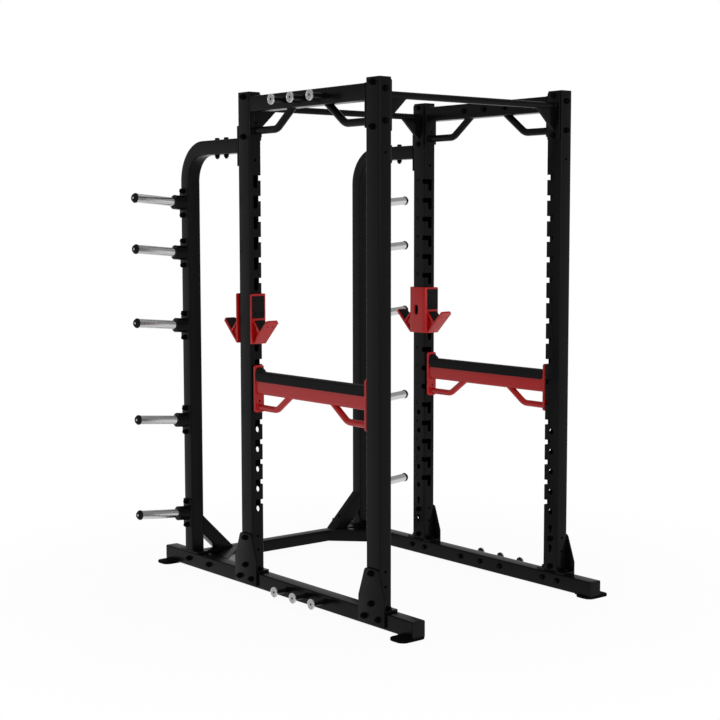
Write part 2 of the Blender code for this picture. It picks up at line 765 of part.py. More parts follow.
def handle(start_y, height, straight, reach, meet_z, radius, bend, towards):
    """Return a bar that leaves a plate, runs level, then bends up into a tube's underside."""
    rise = (meet_z - height) / (reach - straight)
    over = WELD + radius * math.cos(math.atan(rise))
    corners = [
        (start_y - towards * HANDLE_ROOT, height, 0),
        (start_y + towards * straight, height, bend),
        (start_y + towards * (reach + over / rise), meet_z + over, 0),
    ]
    path = [(UPRIGHT_X, y, z) for y, z in rounded(corners, HANDLE_STEPS, ring=False)]
    return bent_bar(path, radius)


def top_beam():
    """Return a top beam with its end plates and two grab handles under it."""
    rear = REAR_Y - UPRIGHT_DEPTH / 2 - GAP
    front = FRONT_Y + UPRIGHT_DEPTH / 2 + GAP
    span_x, span_z = around(UPRIGHT_X, UPRIGHT_WIDTH), (BEAM_BOTTOM, BEAM_TOP)
    outer = rectangle(span_x, span_z, TUBE_CORNER)
    hollow = rectangle(shrunk(span_x, TUBE_WALL), shrunk(span_z, TUBE_WALL))
    rear_plate, front_plate = rear - BEAM_PLATE_THICKNESS, front + BEAM_PLATE_THICKNESS
    beam = slab([outer, hollow], (front_plate - WELD, rear_plate + WELD), "y")
    outline = rectangle(span_x, (BEAM_PLATE_BOTTOM, BEAM_TOP))
    hole = circle(UPRIGHT_X, BEAM_HOLE_Z, BEAM_HOLE_RADIUS, 8)
    vent = circle(UPRIGHT_X, (BEAM_BOTTOM + BEAM_TOP) / 2, 2 * BEAM_HOLE_RADIUS, 8)
    for start, end, towards in ((rear_plate, rear, -1), (front_plate, front, 1)):
        plate = slab([outline, hole, vent], (start, end), "y")
        bar = handle(
            start, TOP_HANDLE_Z, TOP_HANDLE_STRAIGHT, TOP_HANDLE_REACH, BEAM_BOTTOM,
            TOP_HANDLE_RADIUS, TOP_HANDLE_BEND, towards,
        )
        beam = welded(beam, plate, bar)
    return beam


def pull_up_bar(middle_y):
    """Return a pull-up bar with its end plates, gussets and bolt heads."""
    outer_x = UPRIGHT_X - UPRIGHT_WIDTH / 2 - GAP
    inner_x = outer_x - BAR_PLATE_THICKNESS
    bar = rod((-inner_x - WELD, middle_y, BAR_Z), (inner_x + WELD, middle_y, BAR_Z), BAR_RADIUS)
    plate = box(
        (inner_x, outer_x), around(middle_y, 2 * BAR_PLATE_HALF), (BAR_PLATE_BOTTOM, BAR_PLATE_TOP)
    )
    under = BAR_Z - BAR_RADIUS
    triangle = [
        (inner_x + WELD, BAR_GUSSET_LOW_Z), (inner_x + WELD, BAR_Z),
        (BAR_GUSSET_X, BAR_Z), (BAR_GUSSET_X, under),
    ]
    gusset = slab([triangle], around(middle_y, BAR_GUSSET_THICKNESS), "y")
    end = welded(plate, gusset)
    end = with_heads(end, [(inner_x, middle_y, z) for z in BAR_BOLT_HEIGHTS], -ALONG["x"])
    return welded(bar, end, mirrored(end, "x"))


def band_peg(reach):
    """Return a band peg: a round bar with a wide head, standing on x = 0."""
    neck = reach - PEG_HEAD_THICKNESS
    profile = [
        (0, reach), (PEG_HEAD_RADIUS - PEG_CHAMFER, reach), (PEG_HEAD_RADIUS, reach - PEG_CHAMFER),
        (PEG_HEAD_RADIUS, neck), (PEG_RADIUS, neck), (PEG_RADIUS, 0), (0, 0),
    ]
    return turned(profile, Matrix.Rotation(math.pi / 2, 4, "Y"), PEG_SIDES)


def offset_line(start, end, distance):
    """Return a line moved to its left by a distance."""
    start, end = Vector(start), Vector(end)
    along = (end - start).normalized()
    normal = Vector((-along.y, along.x))
    return start + normal * distance, end + normal * distance


def crossing(first, second):
    """Return the point where two lines cross."""
    (a, b), (c, d) = first, second
    along, other = b - a, d - c
    share = (c - a).cross(other) / along.cross(other)
    return a + along * share


def at_y(line, y):
    """Return the point of a line at one y."""
    start, end = line
    return start + (end - start) * (y - start.x) / (end.x - start.x)


def hook_lines():
    """Return the side view's lines of the front hook: lip and seat, each as (steel, liner)."""
    lip = ((CUP_FRONT_Y, HOOK_FOOT_Z), HOOK_TIP)
    seat = ((CUP_FRONT_Y, SEAT_HIGH_Z), SEAT_LOW)
    liner = GAP + LINER_THICKNESS
    return {
        "lip_outer": offset_line(*lip, 0),
        "lip_inner": offset_line(*lip, -HOOK_STEEL),
        "lip_liner": offset_line(*lip, -HOOK_STEEL - GAP),
        "lip_face": offset_line(*lip, -HOOK_STEEL - liner),
        "seat_under": offset_line(*seat, SEAT_STEEL),
        "seat_top": offset_line(*seat, 0),
        "seat_liner": offset_line(*seat, -GAP),
        "seat_face": offset_line(*seat, -liner),
    }


def lip_matrix():
    """Return the frame of the lip's outer face at its tip: x, up the lip, and out of it."""
    foot, tip = (Vector((0, *point)) for point in hook_lines()["lip_outer"])
    along = (tip - foot).normalized()
    out = ALONG["x"].cross(along)
    return Matrix.Translation(tip) @ Matrix((ALONG["x"], along, out)).transposed().to_4x4()


def lip_plate(lines, root, span_x):
    """Return the lip's plate, square at its tip, with its two free corners cut off."""
    outline = [
        at_y(lines["lip_outer"], root), lines["lip_outer"][1], lines["lip_inner"][1],
        at_y(lines["lip_inner"], root),
    ]
    size = LIP_CHAMFER + PAST
    corners = []
    for edge, towards in zip(span_x, (1, -1)):
        before = edge - towards * PAST
        triangle = [(before, PAST), (edge + towards * size, PAST), (before, -size)]
        corner = slab([triangle], (-2 * HOOK_STEEL, 2 * HOOK_STEEL), "z")
        corner.transform(lip_matrix())
        corners.append(corner)
    return cut(slab([outline], span_x, "x"), *corners)


def hook(span_x):
    """Return the steel of the front hook: a sloping lip, a seat and two ribs under it."""
    lines = hook_lines()
    root = CUP_FRONT_Y + WELD
    bottom = crossing(lines["lip_inner"], lines["seat_top"])
    below = crossing(lines["lip_inner"], lines["seat_under"])
    into_lip = (lines["lip_outer"][0] - lines["lip_inner"][0]) * SEAT_BITE
    seat = [
        at_y(lines["seat_top"], root), bottom + into_lip, below + into_lip,
        at_y(lines["seat_under"], root),
    ]
    rib = [
        at_y(lines["lip_inner"], root) + into_lip, at_y(lines["seat_under"], root) + Vector((0, WELD)),
        below + into_lip,
    ]
    x0, x1 = shrunk(span_x, RIB_INSET)
    return [
        lip_plate(lines, root, span_x), slab([seat], span_x, "x"),
        slab([rib], (x0, x0 + HOOK_RIB), "x"), slab([rib], (x1 - HOOK_RIB, x1), "x"),
    ]


def hook_liner(span_x):
    """Return the plastic V that lines the front hook."""
    lines = hook_lines()
    root = CUP_FRONT_Y - GAP
    back, face_back = LINER_SETBACK
    tip = lines["lip_liner"][1].lerp(lines["lip_liner"][0], back)
    tip_face = lines["lip_face"][1].lerp(lines["lip_face"][0], face_back)
    outline = [
        at_y(lines["seat_liner"], root), crossing(lines["seat_liner"], lines["lip_liner"]),
        tip, tip_face, crossing(lines["seat_face"], lines["lip_face"]),
        at_y(lines["seat_face"], root),
    ]
    return slab([outline], shrunk(span_x, LINER_INSET), "x")


def cup_body(front_span, rear_span):
    """Return a J-cup's steel: a channel round the upright, two hooks and the locking studs."""
    rear_y = 2 * REAR_Y - CUP_FRONT_Y
    inside = CUP_BEND - CUP_STEEL
    outline = rounded([
        (CUP_OUTER_X, CUP_FRONT_Y, 0), (CUP_INNER_X, CUP_FRONT_Y, CUP_BEND),
        (CUP_INNER_X, rear_y, CUP_BEND), (CUP_OUTER_X, rear_y, 0),
        (CUP_OUTER_X, rear_y - CUP_STEEL, 0),
        (CUP_INNER_X + CUP_STEEL, rear_y - CUP_STEEL, inside),
        (CUP_INNER_X + CUP_STEEL, CUP_FRONT_Y + CUP_STEEL, inside),
        (CUP_OUTER_X, CUP_FRONT_Y + CUP_STEEL, 0),
    ], 3)
    channel = slab([outline], (CUP_BOTTOM, CUP_TOP), "z")
    side_view = rounded([
        (CUP_INNER_X - PAST, CUP_BOTTOM - PAST, 0), (CUP_OUTER_X, CUP_BOTTOM - PAST, 0),
        (CUP_OUTER_X, CUP_TOP, CUP_CORNER), (CUP_INNER_X - PAST, CUP_TOP, 0),
    ])
    trim = slab([side_view], (CUP_FRONT_Y - PAST, rear_y + PAST), "y")
    channel = combined(channel, trim, "INTERSECT")
    y0, y1, z0, z1 = CUP_HOLE
    window = rectangle((y0, y1), (z0, z1), CUP_HOLE_CORNER)
    through_web = (CUP_INNER_X - PAST, CUP_INNER_X + CUP_STEEL + PAST)
    channel = cut(channel, slab([window], through_web, "x"))
    face = REAR_Y - UPRIGHT_DEPTH / 2 - WEAR_MARGIN
    wear = box(WEAR_SPAN_X, (CUP_FRONT_Y + CUP_STEEL - WELD, face),
               shrunk((CUP_BOTTOM, CUP_TOP), WEAR_END))
    hook_pieces = hook(front_span)
    rear_hook = [mirrored(piece, "y", REAR_Y) for piece in hook(rear_span)]
    body = welded(channel, wear, mirrored(wear, "y", REAR_Y), *hook_pieces, *rear_hook)
    vents = []
    for middle_y in (CUP_FRONT_Y, rear_y):
        start = (VENT[0], middle_y - VENT_REACH, VENT[1])
        end = (VENT[0], middle_y + VENT_REACH, VENT[1])
        vents.append(rod(start, end, VENT_RADIUS, 8))
    body = cut(body, *vents)
    stud_start = CUP_FRONT_Y + CUP_STEEL / 2
    return welded(body, *studs(CUP_SLOT, stud_start, REAR_Y - UPRIGHT_DEPTH / 2, 1))


def seat_height(slot):
    """Return the height of a stud's axis when it rests in a slot, counted from 0."""
    bottom = FIRST_SLOT_Z + slot * SLOT_PITCH - DROP_DEPTH
    return bottom + STUD_RADIUS + SEAT_CLEARANCE


def studs(slot, start_y, face_y, towards):
    """Return two locking studs, in a slot and the one above it."""
    pieces = []
    for index in (slot, slot + 1):
        height = seat_height(index)
        end = (UPRIGHT_X, face_y + towards * STUD_REACH, height)
        pieces.append(rod((UPRIGHT_X, start_y, height), end, STUD_RADIUS))
    return pieces


def cup_pad():
    """Return the plastic pad on a J-cup's front flange."""
    outline = rectangle(PAD_SPAN_X, PAD_SPAN_Z, PAD_CORNER)
    start = CUP_FRONT_Y - GAP
    return slab([outline], (start - PAD_THICKNESS, start), "y")


def arm_ends():
    """Return the outer y of the safety arm's rear and front plates."""
    rear = REAR_Y - UPRIGHT_DEPTH / 2 - ARM_PLATE_SPACE
    front = FRONT_Y + UPRIGHT_DEPTH / 2 + ARM_PLATE_SPACE
    return rear, front


def safety_arm():
    """Return a safety arm: tube, end plates with spacers and studs, and two handles."""
    rear, front = arm_ends()
    span_x = around(UPRIGHT_X, ARM_TUBE_WIDTH)
    span_z = (ARM_TUBE_BOTTOM, ARM_TUBE_TOP)
    outer = rectangle(span_x, span_z, ARM_TUBE_CORNER, 2)
    inside = ARM_TUBE_CORNER - ARM_TUBE_WALL
    hollow = rectangle(shrunk(span_x, ARM_TUBE_WALL), shrunk(span_z, ARM_TUBE_WALL), inside, 2)
    inner_rear, inner_front = rear - ARM_PLATE_THICKNESS, front + ARM_PLATE_THICKNESS
    arm = slab([outer, hollow], (inner_front - WELD, inner_rear + WELD), "y")
    plate_x = around(UPRIGHT_X, ARM_PLATE_WIDTH)
    outline = rectangle(plate_x, (ARM_PLATE_BOTTOM, ARM_PLATE_TOP), ARM_PLATE_CORNER)
    hole = circle(UPRIGHT_X, ARM_HOLE_Z, ARM_HOLE_RADIUS, 8)
    for start, end, towards in ((inner_rear, rear, -1), (inner_front, front, 1)):
        plate = slab([outline, hole], (start, end), "y")
        spacer_end = end - towards * (ARM_PLATE_SPACE - WEAR_MARGIN)
        spacer = box(
            shrunk(plate_x, ARM_SPACER_MARGIN), (end + towards * WELD, spacer_end),
            (ARM_SPACER_BOTTOM, ARM_PLATE_TOP - ARM_SPACER_MARGIN),
        )
        bar = handle(
            start, ARM_HANDLE_Z, ARM_HANDLE_STRAIGHT, ARM_HANDLE_REACH, ARM_TUBE_BOTTOM,
            ARM_HANDLE_RADIUS, ARM_HANDLE_BEND, towards,
        )
        face = end - towards * ARM_PLATE_SPACE
        pins = studs(ARM_SLOT, (start + end) / 2, face, -towards)
        arm = welded(arm, plate, spacer, bar, *pins)
    middle_y = (rear + front) / 2
    low, high = ARM_TUBE_BOTTOM - WELD, ARM_TUBE_BOTTOM + ARM_TUBE_WALL + WELD
    drain = rod((UPRIGHT_X, middle_y, low), (UPRIGHT_X, middle_y, high), VENT_RADIUS, 8)
    return cut(arm, drain)


def safety_liner():
    """Return the plastic saddle over a safety arm's tube, with its raised stop at the rear."""
    rear, front = arm_ends()
    start = front + ARM_PLATE_THICKNESS + GAP
    end = rear - ARM_PLATE_THICKNESS - GAP
    half, inner_half = ARM_LINER_WIDTH / 2, ARM_TUBE_WIDTH / 2 + GAP
    crown = ARM_TUBE_TOP + GAP
    within, outside = ARM_LINER_RADII
    section = rounded([
        (UPRIGHT_X - half, ARM_LINER_BOTTOM, 0), (UPRIGHT_X - inner_half, ARM_LINER_BOTTOM, 0),
        (UPRIGHT_X - inner_half, crown, within), (UPRIGHT_X + inner_half, crown, within),
        (UPRIGHT_X + inner_half, ARM_LINER_BOTTOM, 0), (UPRIGHT_X + half, ARM_LINER_BOTTOM, 0),
        (UPRIGHT_X + half, ARM_LINER_TOP, outside), (UPRIGHT_X - half, ARM_LINER_TOP, outside),
    ])
    liner = welded(slab([section], (start, end), "y"), liner_stop(end))
    size = ARM_LINER_CHAMFER + PAST
    wide = around(UPRIGHT_X, ARM_LINER_WIDTH + 2 * PAST)
    low = ARM_LINER_BOTTOM
    cutters = []
    for edge, towards in ((start, 1), (end, -1)):
        before = edge - towards * PAST
        triangle = [(before, low - PAST), (edge + towards * size, low - PAST), (before, low + size)]
        cutters.append(slab([triangle], wide, "x"))
    return cut(liner, *cutters)


def liner_stop(end):
    """Return the stop at the liner's rear end: arched seen along it, with a ramp before it."""
    root, top = ARM_LINER_TOP - ARM_STOP_ROOT, ARM_STOP_TOP
    side_view = rounded([
        (end, root, 0), (end, top, ARM_STOP_ROOT), (end - ARM_STOP_LEVEL, top, ARM_STOP_LEVEL),
        (end - ARM_STOP_LENGTH, ARM_LINER_TOP - 2 * WELD, 0), (end - ARM_STOP_LENGTH, root, 0),
    ])
    left, right = UPRIGHT_X - ARM_STOP_HALF, UPRIGHT_X + ARM_STOP_HALF
    arch = rounded([
        (left, root - PAST, 0), (right, root - PAST, 0),
        (right, top, ARM_STOP_ARCH), (left, top, ARM_STOP_ARCH),
    ], 4)
    block = slab([side_view], around(UPRIGHT_X, ARM_LINER_WIDTH), "x")
    past = (end - ARM_STOP_LENGTH - PAST, end + PAST)
    return combined(block, slab([arch], past, "y"), "INTERSECT")


def make_material(description):
    """Return a Principled material of a name, colour, roughness and metallic value."""
    name, colour, roughness, metallic = description
    material = bpy.data.materials.get(name)
    if material:
        return material
    material = bpy.data.materials.new(name)
    material.use_nodes = True
    shader = material.node_tree.nodes["Principled BSDF"]
    shader.inputs["Base Color"].default_value = colour
    shader.inputs["Roughness"].default_value = roughness
    shader.inputs["Metallic"].default_value = metallic
    material.diffuse_color = colour
    return material


def place(group, mesh, name, origin, material, parent=None):
    """Put a piece into the collection, with its origin at a point of the rack."""
    mesh = moved(mesh, -Vector(origin))
    mesh.name = name
    mesh.materials.clear()
    mesh.materials.append(make_material(material))
    mesh.shade_smooth()
    mesh.set_sharp_from_angle(angle=SMOOTH_ANGLE)
    piece = bpy.data.objects.new(name, mesh)
    group.objects.link(piece)
    piece.location = origin
    if parent:
        piece.parent = parent
        piece.location = Vector(origin) - parent.location
    return piece


def place_pair(group, mesh, name, origin, material, parents=(None, None)):
    """Put a piece on the right of the rack and its mirror image on the left."""
    x, y, z = origin
    left = place(group, mirrored(mesh, "x"), name + "_left", (-x, y, z), material, parents[0])
    right = place(group, mesh, name + "_right", origin, material, parents[1])
    return left, right


def add_frame(group):
    """Model the pieces that are bolted together for good."""
    for name, middle_y, side, bolts in (
        ("upright_rear", REAR_Y, -1, BEAM_BOLT_HEIGHTS[:1]),
        ("upright_front", FRONT_Y, 1, BEAM_BOLT_HEIGHTS),
    ):
        post = upright(middle_y, side, bolts)
        place_pair(group, post, name, (UPRIGHT_X, middle_y, RAIL_TOP + GAP), COATED_BLACK)
    place_pair(group, base_rail(), "base_rail", (RAIL_X, 0, 0), COATED_BLACK)
    for name, middle_y in (("gusset_plate_rear", REAR_Y), ("gusset_plate_front", FRONT_Y)):
        origin = (UPRIGHT_X + UPRIGHT_WIDTH / 2, middle_y, GUSSET_LOW_BOLT_Z)
        place_pair(group, gusset_plate(middle_y), name, origin, COATED_BLACK)
    place(group, rear_cross_member(), "rear_cross_member", (0, CROSS_FRONT, RAIL_TOP), COATED_BLACK)
    place_pair(group, brace(), "storage_brace", (RAIL_X, STORAGE_Y, RAIL_TOP), COATED_BLACK)
    place_pair(group, top_beam(), "top_beam", (UPRIGHT_X, REAR_Y, BEAM_BOTTOM), COATED_BLACK)
    for name, middle_y in (("pull_up_bar_rear", REAR_Y), ("pull_up_bar_front", FRONT_Y)):
        place(group, pull_up_bar(middle_y), name, (0, middle_y, BAR_Z), COATED_BLACK)


def add_storage(group):
    """Model the plate storage behind the rack."""
    origin = (RAIL_X, STORAGE_Y, RAIL_TOP)
    place_pair(group, storage_post(), "storage_post", origin, COATED_BLACK)
    place_pair(group, storage_foot(), "storage_foot", origin, COATED_BLACK)
    bracket_origin = (UPRIGHT_X, REAR_Y + UPRIGHT_DEPTH / 2, STORAGE_ARM_Z)
    place_pair(group, storage_bracket(), "storage_bracket", bracket_origin, COATED_BLACK)
    for number, height in enumerate(HORN_HEIGHTS, start=1):
        horn_origin = horn_matrix(height).translation
        place_pair(group, horn_sleeve(height), f"plate_horn_{number}", horn_origin, CHROME)


def add_pegs(group):
    """Model the band pegs on the top beams and base rails."""
    outer_x = UPRIGHT_X + UPRIGHT_WIDTH / 2 + GAP
    for name, reach, height, places in (
        ("band_peg_top", TOP_PEG_REACH, TOP_PEG_Z, TOP_PEGS_Y),
        ("band_peg_base", BASE_PEG_REACH, BASE_PEG_Z, BASE_PEGS_Y),
    ):
        for number, y in enumerate(places, start=1):
            origin = (outer_x, y, height)
            place_pair(group, moved(band_peg(reach), origin), f"{name}_{number}", origin, CHROME)


def add_cups(group):
    """Model the two J-cups. The left one is the right one turned about its upright."""
    free_span = (CUP_OUTER_X - HOOK_WIDTH, CUP_OUTER_X)
    web_span = (WEB_HOOK_X, WEB_HOOK_X + HOOK_WIDTH)
    origin = (UPRIGHT_X, REAR_Y, seat_height(CUP_SLOT))
    pad = cup_pad()
    for end, front_span, rear_span, mirror in (
        ("right", free_span, web_span, False), ("left", web_span, free_span, True),
    ):
        pieces = {
            "jcup": cup_body(front_span, rear_span),
            "jcup_pad_front": pad,
            "jcup_pad_rear": mirrored(pad, "y", REAR_Y),
            "jcup_liner_front": hook_liner(front_span),
            "jcup_liner_rear": mirrored(hook_liner(rear_span), "y", REAR_Y),
        }
        point = Vector(origin)
        if mirror:
            pieces = {name: mirrored(mesh, "x") for name, mesh in pieces.items()}
            point.x = -point.x
        body = None
        for name, mesh in pieces.items():
            material = COATED_RED if name == "jcup" else BLACK_PLASTIC
            piece = place(group, mesh, f"{name}_{end}", point, material, body)
            body = body or piece


def add_safety_arms(group):
    """Model the two safety arms."""
    origin = (UPRIGHT_X, REAR_Y - UPRIGHT_DEPTH / 2, seat_height(ARM_SLOT))
    arms = place_pair(group, safety_arm(), "safety_arm", origin, COATED_RED)
    place_pair(group, safety_liner(), "safety_arm_liner", origin, BLACK_PLASTIC, arms)


def main():
    """Build the rack."""
    clear_scene()
    group = bpy.data.collections.new("power_rack")
    bpy.context.scene.collection.children.link(group)
    add_frame(group)
    add_storage(group)
    add_pegs(group)
    add_cups(group)
    add_safety_arms(group)


main()
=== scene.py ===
import itertools
import math

import bmesh
import bpy
from mathutils import Matrix, Vector


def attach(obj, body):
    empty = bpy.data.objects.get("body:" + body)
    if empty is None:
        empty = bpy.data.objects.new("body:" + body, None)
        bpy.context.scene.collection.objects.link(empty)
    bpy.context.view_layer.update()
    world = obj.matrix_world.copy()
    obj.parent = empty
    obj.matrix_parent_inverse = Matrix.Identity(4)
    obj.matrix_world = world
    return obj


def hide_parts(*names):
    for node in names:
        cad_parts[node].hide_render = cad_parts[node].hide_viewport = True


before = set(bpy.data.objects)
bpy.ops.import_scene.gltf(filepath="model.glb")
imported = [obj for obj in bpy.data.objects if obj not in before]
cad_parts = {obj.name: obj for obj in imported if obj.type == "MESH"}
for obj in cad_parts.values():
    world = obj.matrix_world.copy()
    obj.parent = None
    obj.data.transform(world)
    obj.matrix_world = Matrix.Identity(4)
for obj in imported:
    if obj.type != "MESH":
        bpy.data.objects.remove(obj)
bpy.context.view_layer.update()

# Clearance between pieces that touch, and the overlap of pieces that are welded into one
GAP = 0.0003
WELD = 0.001
# How far a cutter reaches past the face that it cuts, and the distance at which points merge
PAST = 0.004
MERGE = 0.00001

# Sides of round pieces and holes
ROUND_SIDES = 48
STUD_SIDES = 40
DISC_SIDES = 32
HOLE_SIDES = 24

# Corners of plates, then soft rims of plates, caps and strips, each as (radius, steps)
PLATE_CORNER = (0.004, 3)
NARROW_CORNER = (0.003, 3)
SQUARE = (0, 1)
RIM = (0.0008, 2)
CAP_RIM = (0.0015, 3)
WEAR_RIM = (0.0005, 2)

# Weld beads: radii, the sides of their section and the steps of their path
BEAD_RADIUS = 0.0022
WIDE_BEAD = 0.0025
COLLAR_BEAD = 0.003
BEAD_SIDES = 10
BEAD_ROUNDNESS = 2
BEAD_CORNER_STEPS = 4
RING_SIDES = 40

# Uprights: section, places, how far they start above their plates' undersides, and their tops
UPRIGHT_WIDTH = 0.070
UPRIGHT_DEPTH = 0.094
UPRIGHT_WALL = 0.0035
UPRIGHT_X = 0.569
UPRIGHT_START = 0.002
REAR_Y = 0.2456
FRONT_Y = -0.7417
INNER_X, OUTER_X = UPRIGHT_X - UPRIGHT_WIDTH / 2, UPRIGHT_X + UPRIGHT_WIDTH / 2
UPRIGHT_SPAN = (INNER_X, OUTER_X)
# Faces of the uprights towards the bay between them
BAY_REAR, BAY_FRONT = REAR_Y - UPRIGHT_DEPTH / 2, FRONT_Y + UPRIGHT_DEPTH / 2
RACK_TOP = 2.447
CAP_THICKNESS = 0.004
CAP_INSET = 0.0003

# L-shaped slots: a mouth open to the inner side and a drop that ends in a round seat
SLOT_COUNT = 17
SLOT_PITCH = 0.100
FIRST_SLOT_Z = 0.433
SLOT_HEIGHTS = [FIRST_SLOT_Z + index * SLOT_PITCH for index in range(SLOT_COUNT)]
MOUTH_HEIGHT = 0.025
NOTCH_DEPTH = 0.024
DROP_WIDTH = 0.024
DROP_DEPTH = 0.050
SLOT_CORNERS = (0.003, 0.002)
SEAT_ROUNDING = 0.999
SLOT_STEPS = 8
SLOT_PAST = 0.003
STUD_RADIUS = 0.011
STUD_REACH = 0.020
STUD_ROOT = 0.005
SEAT_CLEARANCE = 0.0005

# Numbers beside the slots
NUMBER_SIZE = 0.026
NUMBER_WEIGHT = 0.0006
NUMBER_RELIEF = 0.0001
NUMBER_ASIDE = 0.013
NUMBER_LIFT = 0.006

# Round holes and keyholes in the inner faces, under the slots, and small holes front to back
ROUND_HOLE_RADIUS = 0.014
ROUND_HOLES_Z = [0.390 + index * SLOT_PITCH for index in range(5)]
KEYHOLE_TOPS = (0.225, 0.324)
KEYHOLE_HEIGHT = 0.040
KEYHOLE_RADIUS = 0.012
KEYHOLE_SLOT_WIDTH = 0.013
KEYHOLE_CORNER = 0.004
KEYHOLE_STEPS = 24
SMALL_HOLES_Z = (0.262, 0.1935, 2.119)
SMALL_HOLE_RADIUS = 0.007
SMALL_HOLE_SIDES = 20

# Base rails, their feet and the plates under the posts
RAIL_X = 0.568
RAIL_WIDTH = 0.072
RAIL_INNER_X, RAIL_OUTER_X = RAIL_X - RAIL_WIDTH / 2, RAIL_X + RAIL_WIDTH / 2
RAIL_SPAN = (RAIL_INNER_X, RAIL_OUTER_X)
RAIL_BOTTOM = 0.010
RAIL_TOP = 0.085
RAIL_END_Y = 1.0135
TUBE_WALL = 0.0035
TUBE_CORNER = 0.0065
OUTER_CORNER = (TUBE_CORNER, 6)
INNER_CORNER = (0.003, 4)
FOOT_SPAN = (0.520, 0.668)
FOOT_INNER_Y = 0.915
FOOT_OUTER_Y = 1.018
FOOT_THICKNESS = 0.011
FOOT_CORNER = (0.035, 10)
POST_FOOT_Z = RAIL_TOP + GAP
BASE_PLATE_THICKNESS = 0.011
BASE_TOP = POST_FOOT_Z + BASE_PLATE_THICKNESS
UPRIGHT_PLATE_LENGTH = 0.184
STORAGE_PLATE_LENGTH = 0.172
DRAIN_RADIUS = 0.006

# Gusset plates on the outer side of each upright's foot
GUSSET_THICKNESS = 0.010
GUSSET_BOTTOM = 0.020
GUSSET_SHOULDER = 0.142
GUSSET_TOP = 0.275
GUSSET_TOP_WIDTH = 0.092
GUSSET_RADII = (0.004, 0.030, 0.020)
GUSSET_STEPS = 8
GUSSET_RIM = 0.001
GUSSET_BOLT_HEIGHTS = (0.254, 0.116)
GUSSET_LOW_BOLT_Z = 0.052
GUSSET_LOW_BOLT_PITCH = 0.100

# Storage posts: bent tubes that rise behind the rails and reach forward to the rear uprights
STORAGE_Y = 0.785
STORAGE_WIDTH = 0.072
STORAGE_BEND_RADIUS = 0.164
STORAGE_ARM_Z = 2.192
STORAGE_ARM_FRONT = 0.304
BEND_STEPS = 24
SWEPT_STEPS = 5
BRACKET_THICKNESS = 0.009
BRACKET_SPAN_Z = (2.092, 2.287)
BRACKET_BOLT_HEIGHTS = (2.257, 2.119)
STUB_WIDTH = 0.062
STUB_WALL = 0.003
STUB_HOLLOW_CORNER = (0.001, 2)
STUB_END = 0.570
ARM_BOLTS_Y = (0.449, 0.530)

# Plate horns on the outer side of the storage posts
HORN_HEIGHTS = (0.295, 0.7885, 1.284, 1.6595, 1.917)
HORN_TILT = math.radians(4.8)
HORN_PLATE_THICKNESS = 0.008
HORN_FACE_X = RAIL_OUTER_X + HORN_PLATE_THICKNESS
HORN_PLATE_HEIGHT = 0.150
HORN_BOLT_PITCH = 0.124
COLLAR_RADIUS = 0.037
COLLAR_LENGTH = 0.061
COLLAR_ROOT = 0.006
COLLAR_CHAMFER = 0.0035
COLLAR_BORE_START = 0.016
COLLAR_CLEARANCE = 0.0004
BORE_CHAMFER = 0.001
SLEEVE_RADIUS = 0.0225
SLEEVE_END = 0.281
HORN_CAP_RADIUS = 0.025
HORN_CAP_END = 0.300
HORN_CAP_EDGE = 0.001
HORN_CAP_DISH = 0.003
HORN_SCREW = (0.0065, 0.0028)
# Outer face of a horn's end cap, from its dished middle outward, as (radius, depth)
HORN_CAP_FACE = (
    (0, HORN_CAP_DISH), (0.0095, HORN_CAP_DISH), (0.0115, 0), (0.0165, 0),
    (0.024, 0.009), (HORN_CAP_RADIUS, 0.011),
)

# Rear cross member with its diagonal struts, and the braces above it
CROSS_FRONT = 0.751
CROSS_REAR = 0.815
CROSS_BOTTOM = 0.023
STRUT_INNER_SUM = 1.055
STRUT_OUTER_SUM = 1.157
STRUT_BOLT_Y = 0.593
STRUT_BITE = 0.002
STRUT_WELD_MARGIN = 0.006
BRACE_UPPER_Z = 0.276
BRACE_LOWER_Z = 0.177
BRACE_WIDTH = 0.070
BRACE_BOLT_Z = 0.150
# Lengths of strut and brace before they are trimmed, and the room that each is trimmed to
STRUT_RAW = (-0.2, 0.5)
BRACE_RAW = (-0.1, 0.4)
ROOM_INNER_X = 0.2
STRUT_ROOM_FRONT = 0.3
STRUT_ROOM_Z = (0, 0.2)
BRACE_ROOM_Y = (0.6, 0.9)
BRACE_ROOM_TOP = 0.5

# Top beams
BEAM_BOTTOM = 2.349
BEAM_TOP = 2.424
BEAM_PLATE_THICKNESS = 0.009
BEAM_PLATE_BOTTOM = 2.229
BEAM_BOLT_HEIGHTS = (2.396, 2.257)
BEAM_HOLE = (UPRIGHT_X, 2.298, 0.006, HOLE_SIDES)

# Pull-up bars across the rack
BAR_RADIUS = 0.016
BAR_Z = 2.374
BAR_PLATE_THICKNESS = 0.008
BAR_PLATE_WIDTH = 0.080
BAR_PLATE_SPAN_Z = (2.214, 2.437)
BAR_BOLT_HEIGHTS = (2.232, 2.424)
BAR_GUSSET_THICKNESS = 0.020
BAR_GUSSET_LOW_Z = 2.255
BAR_GUSSET_X = 0.417

# Band pegs: name, reach, height and places along the rack
PEGS = (
    ("band_peg_top", 0.086, 2.387, (-0.101, -0.249, -0.397)),
    ("band_peg_base", 0.083, 0.052, (-0.094, -0.242, -0.387)),
)
PEG_RADIUS = 0.0125
PEG_SINK = 0.0005
PEG_FLANGE = (0.0165, 0.0, 0.004, 0.0010, STUD_SIDES)
PEG_SCREW = (0.0055, 0.0018)
PEG_DISK_RADIUS = 0.0205
PEG_DISK_RISE = 0.0004
PEG_DISK_EDGE = 0.0003
PEG_BAR_EDGE = 0.0002
PEG_DISH = 0.0018
PEG_HEAD_THICKNESS = 0.008
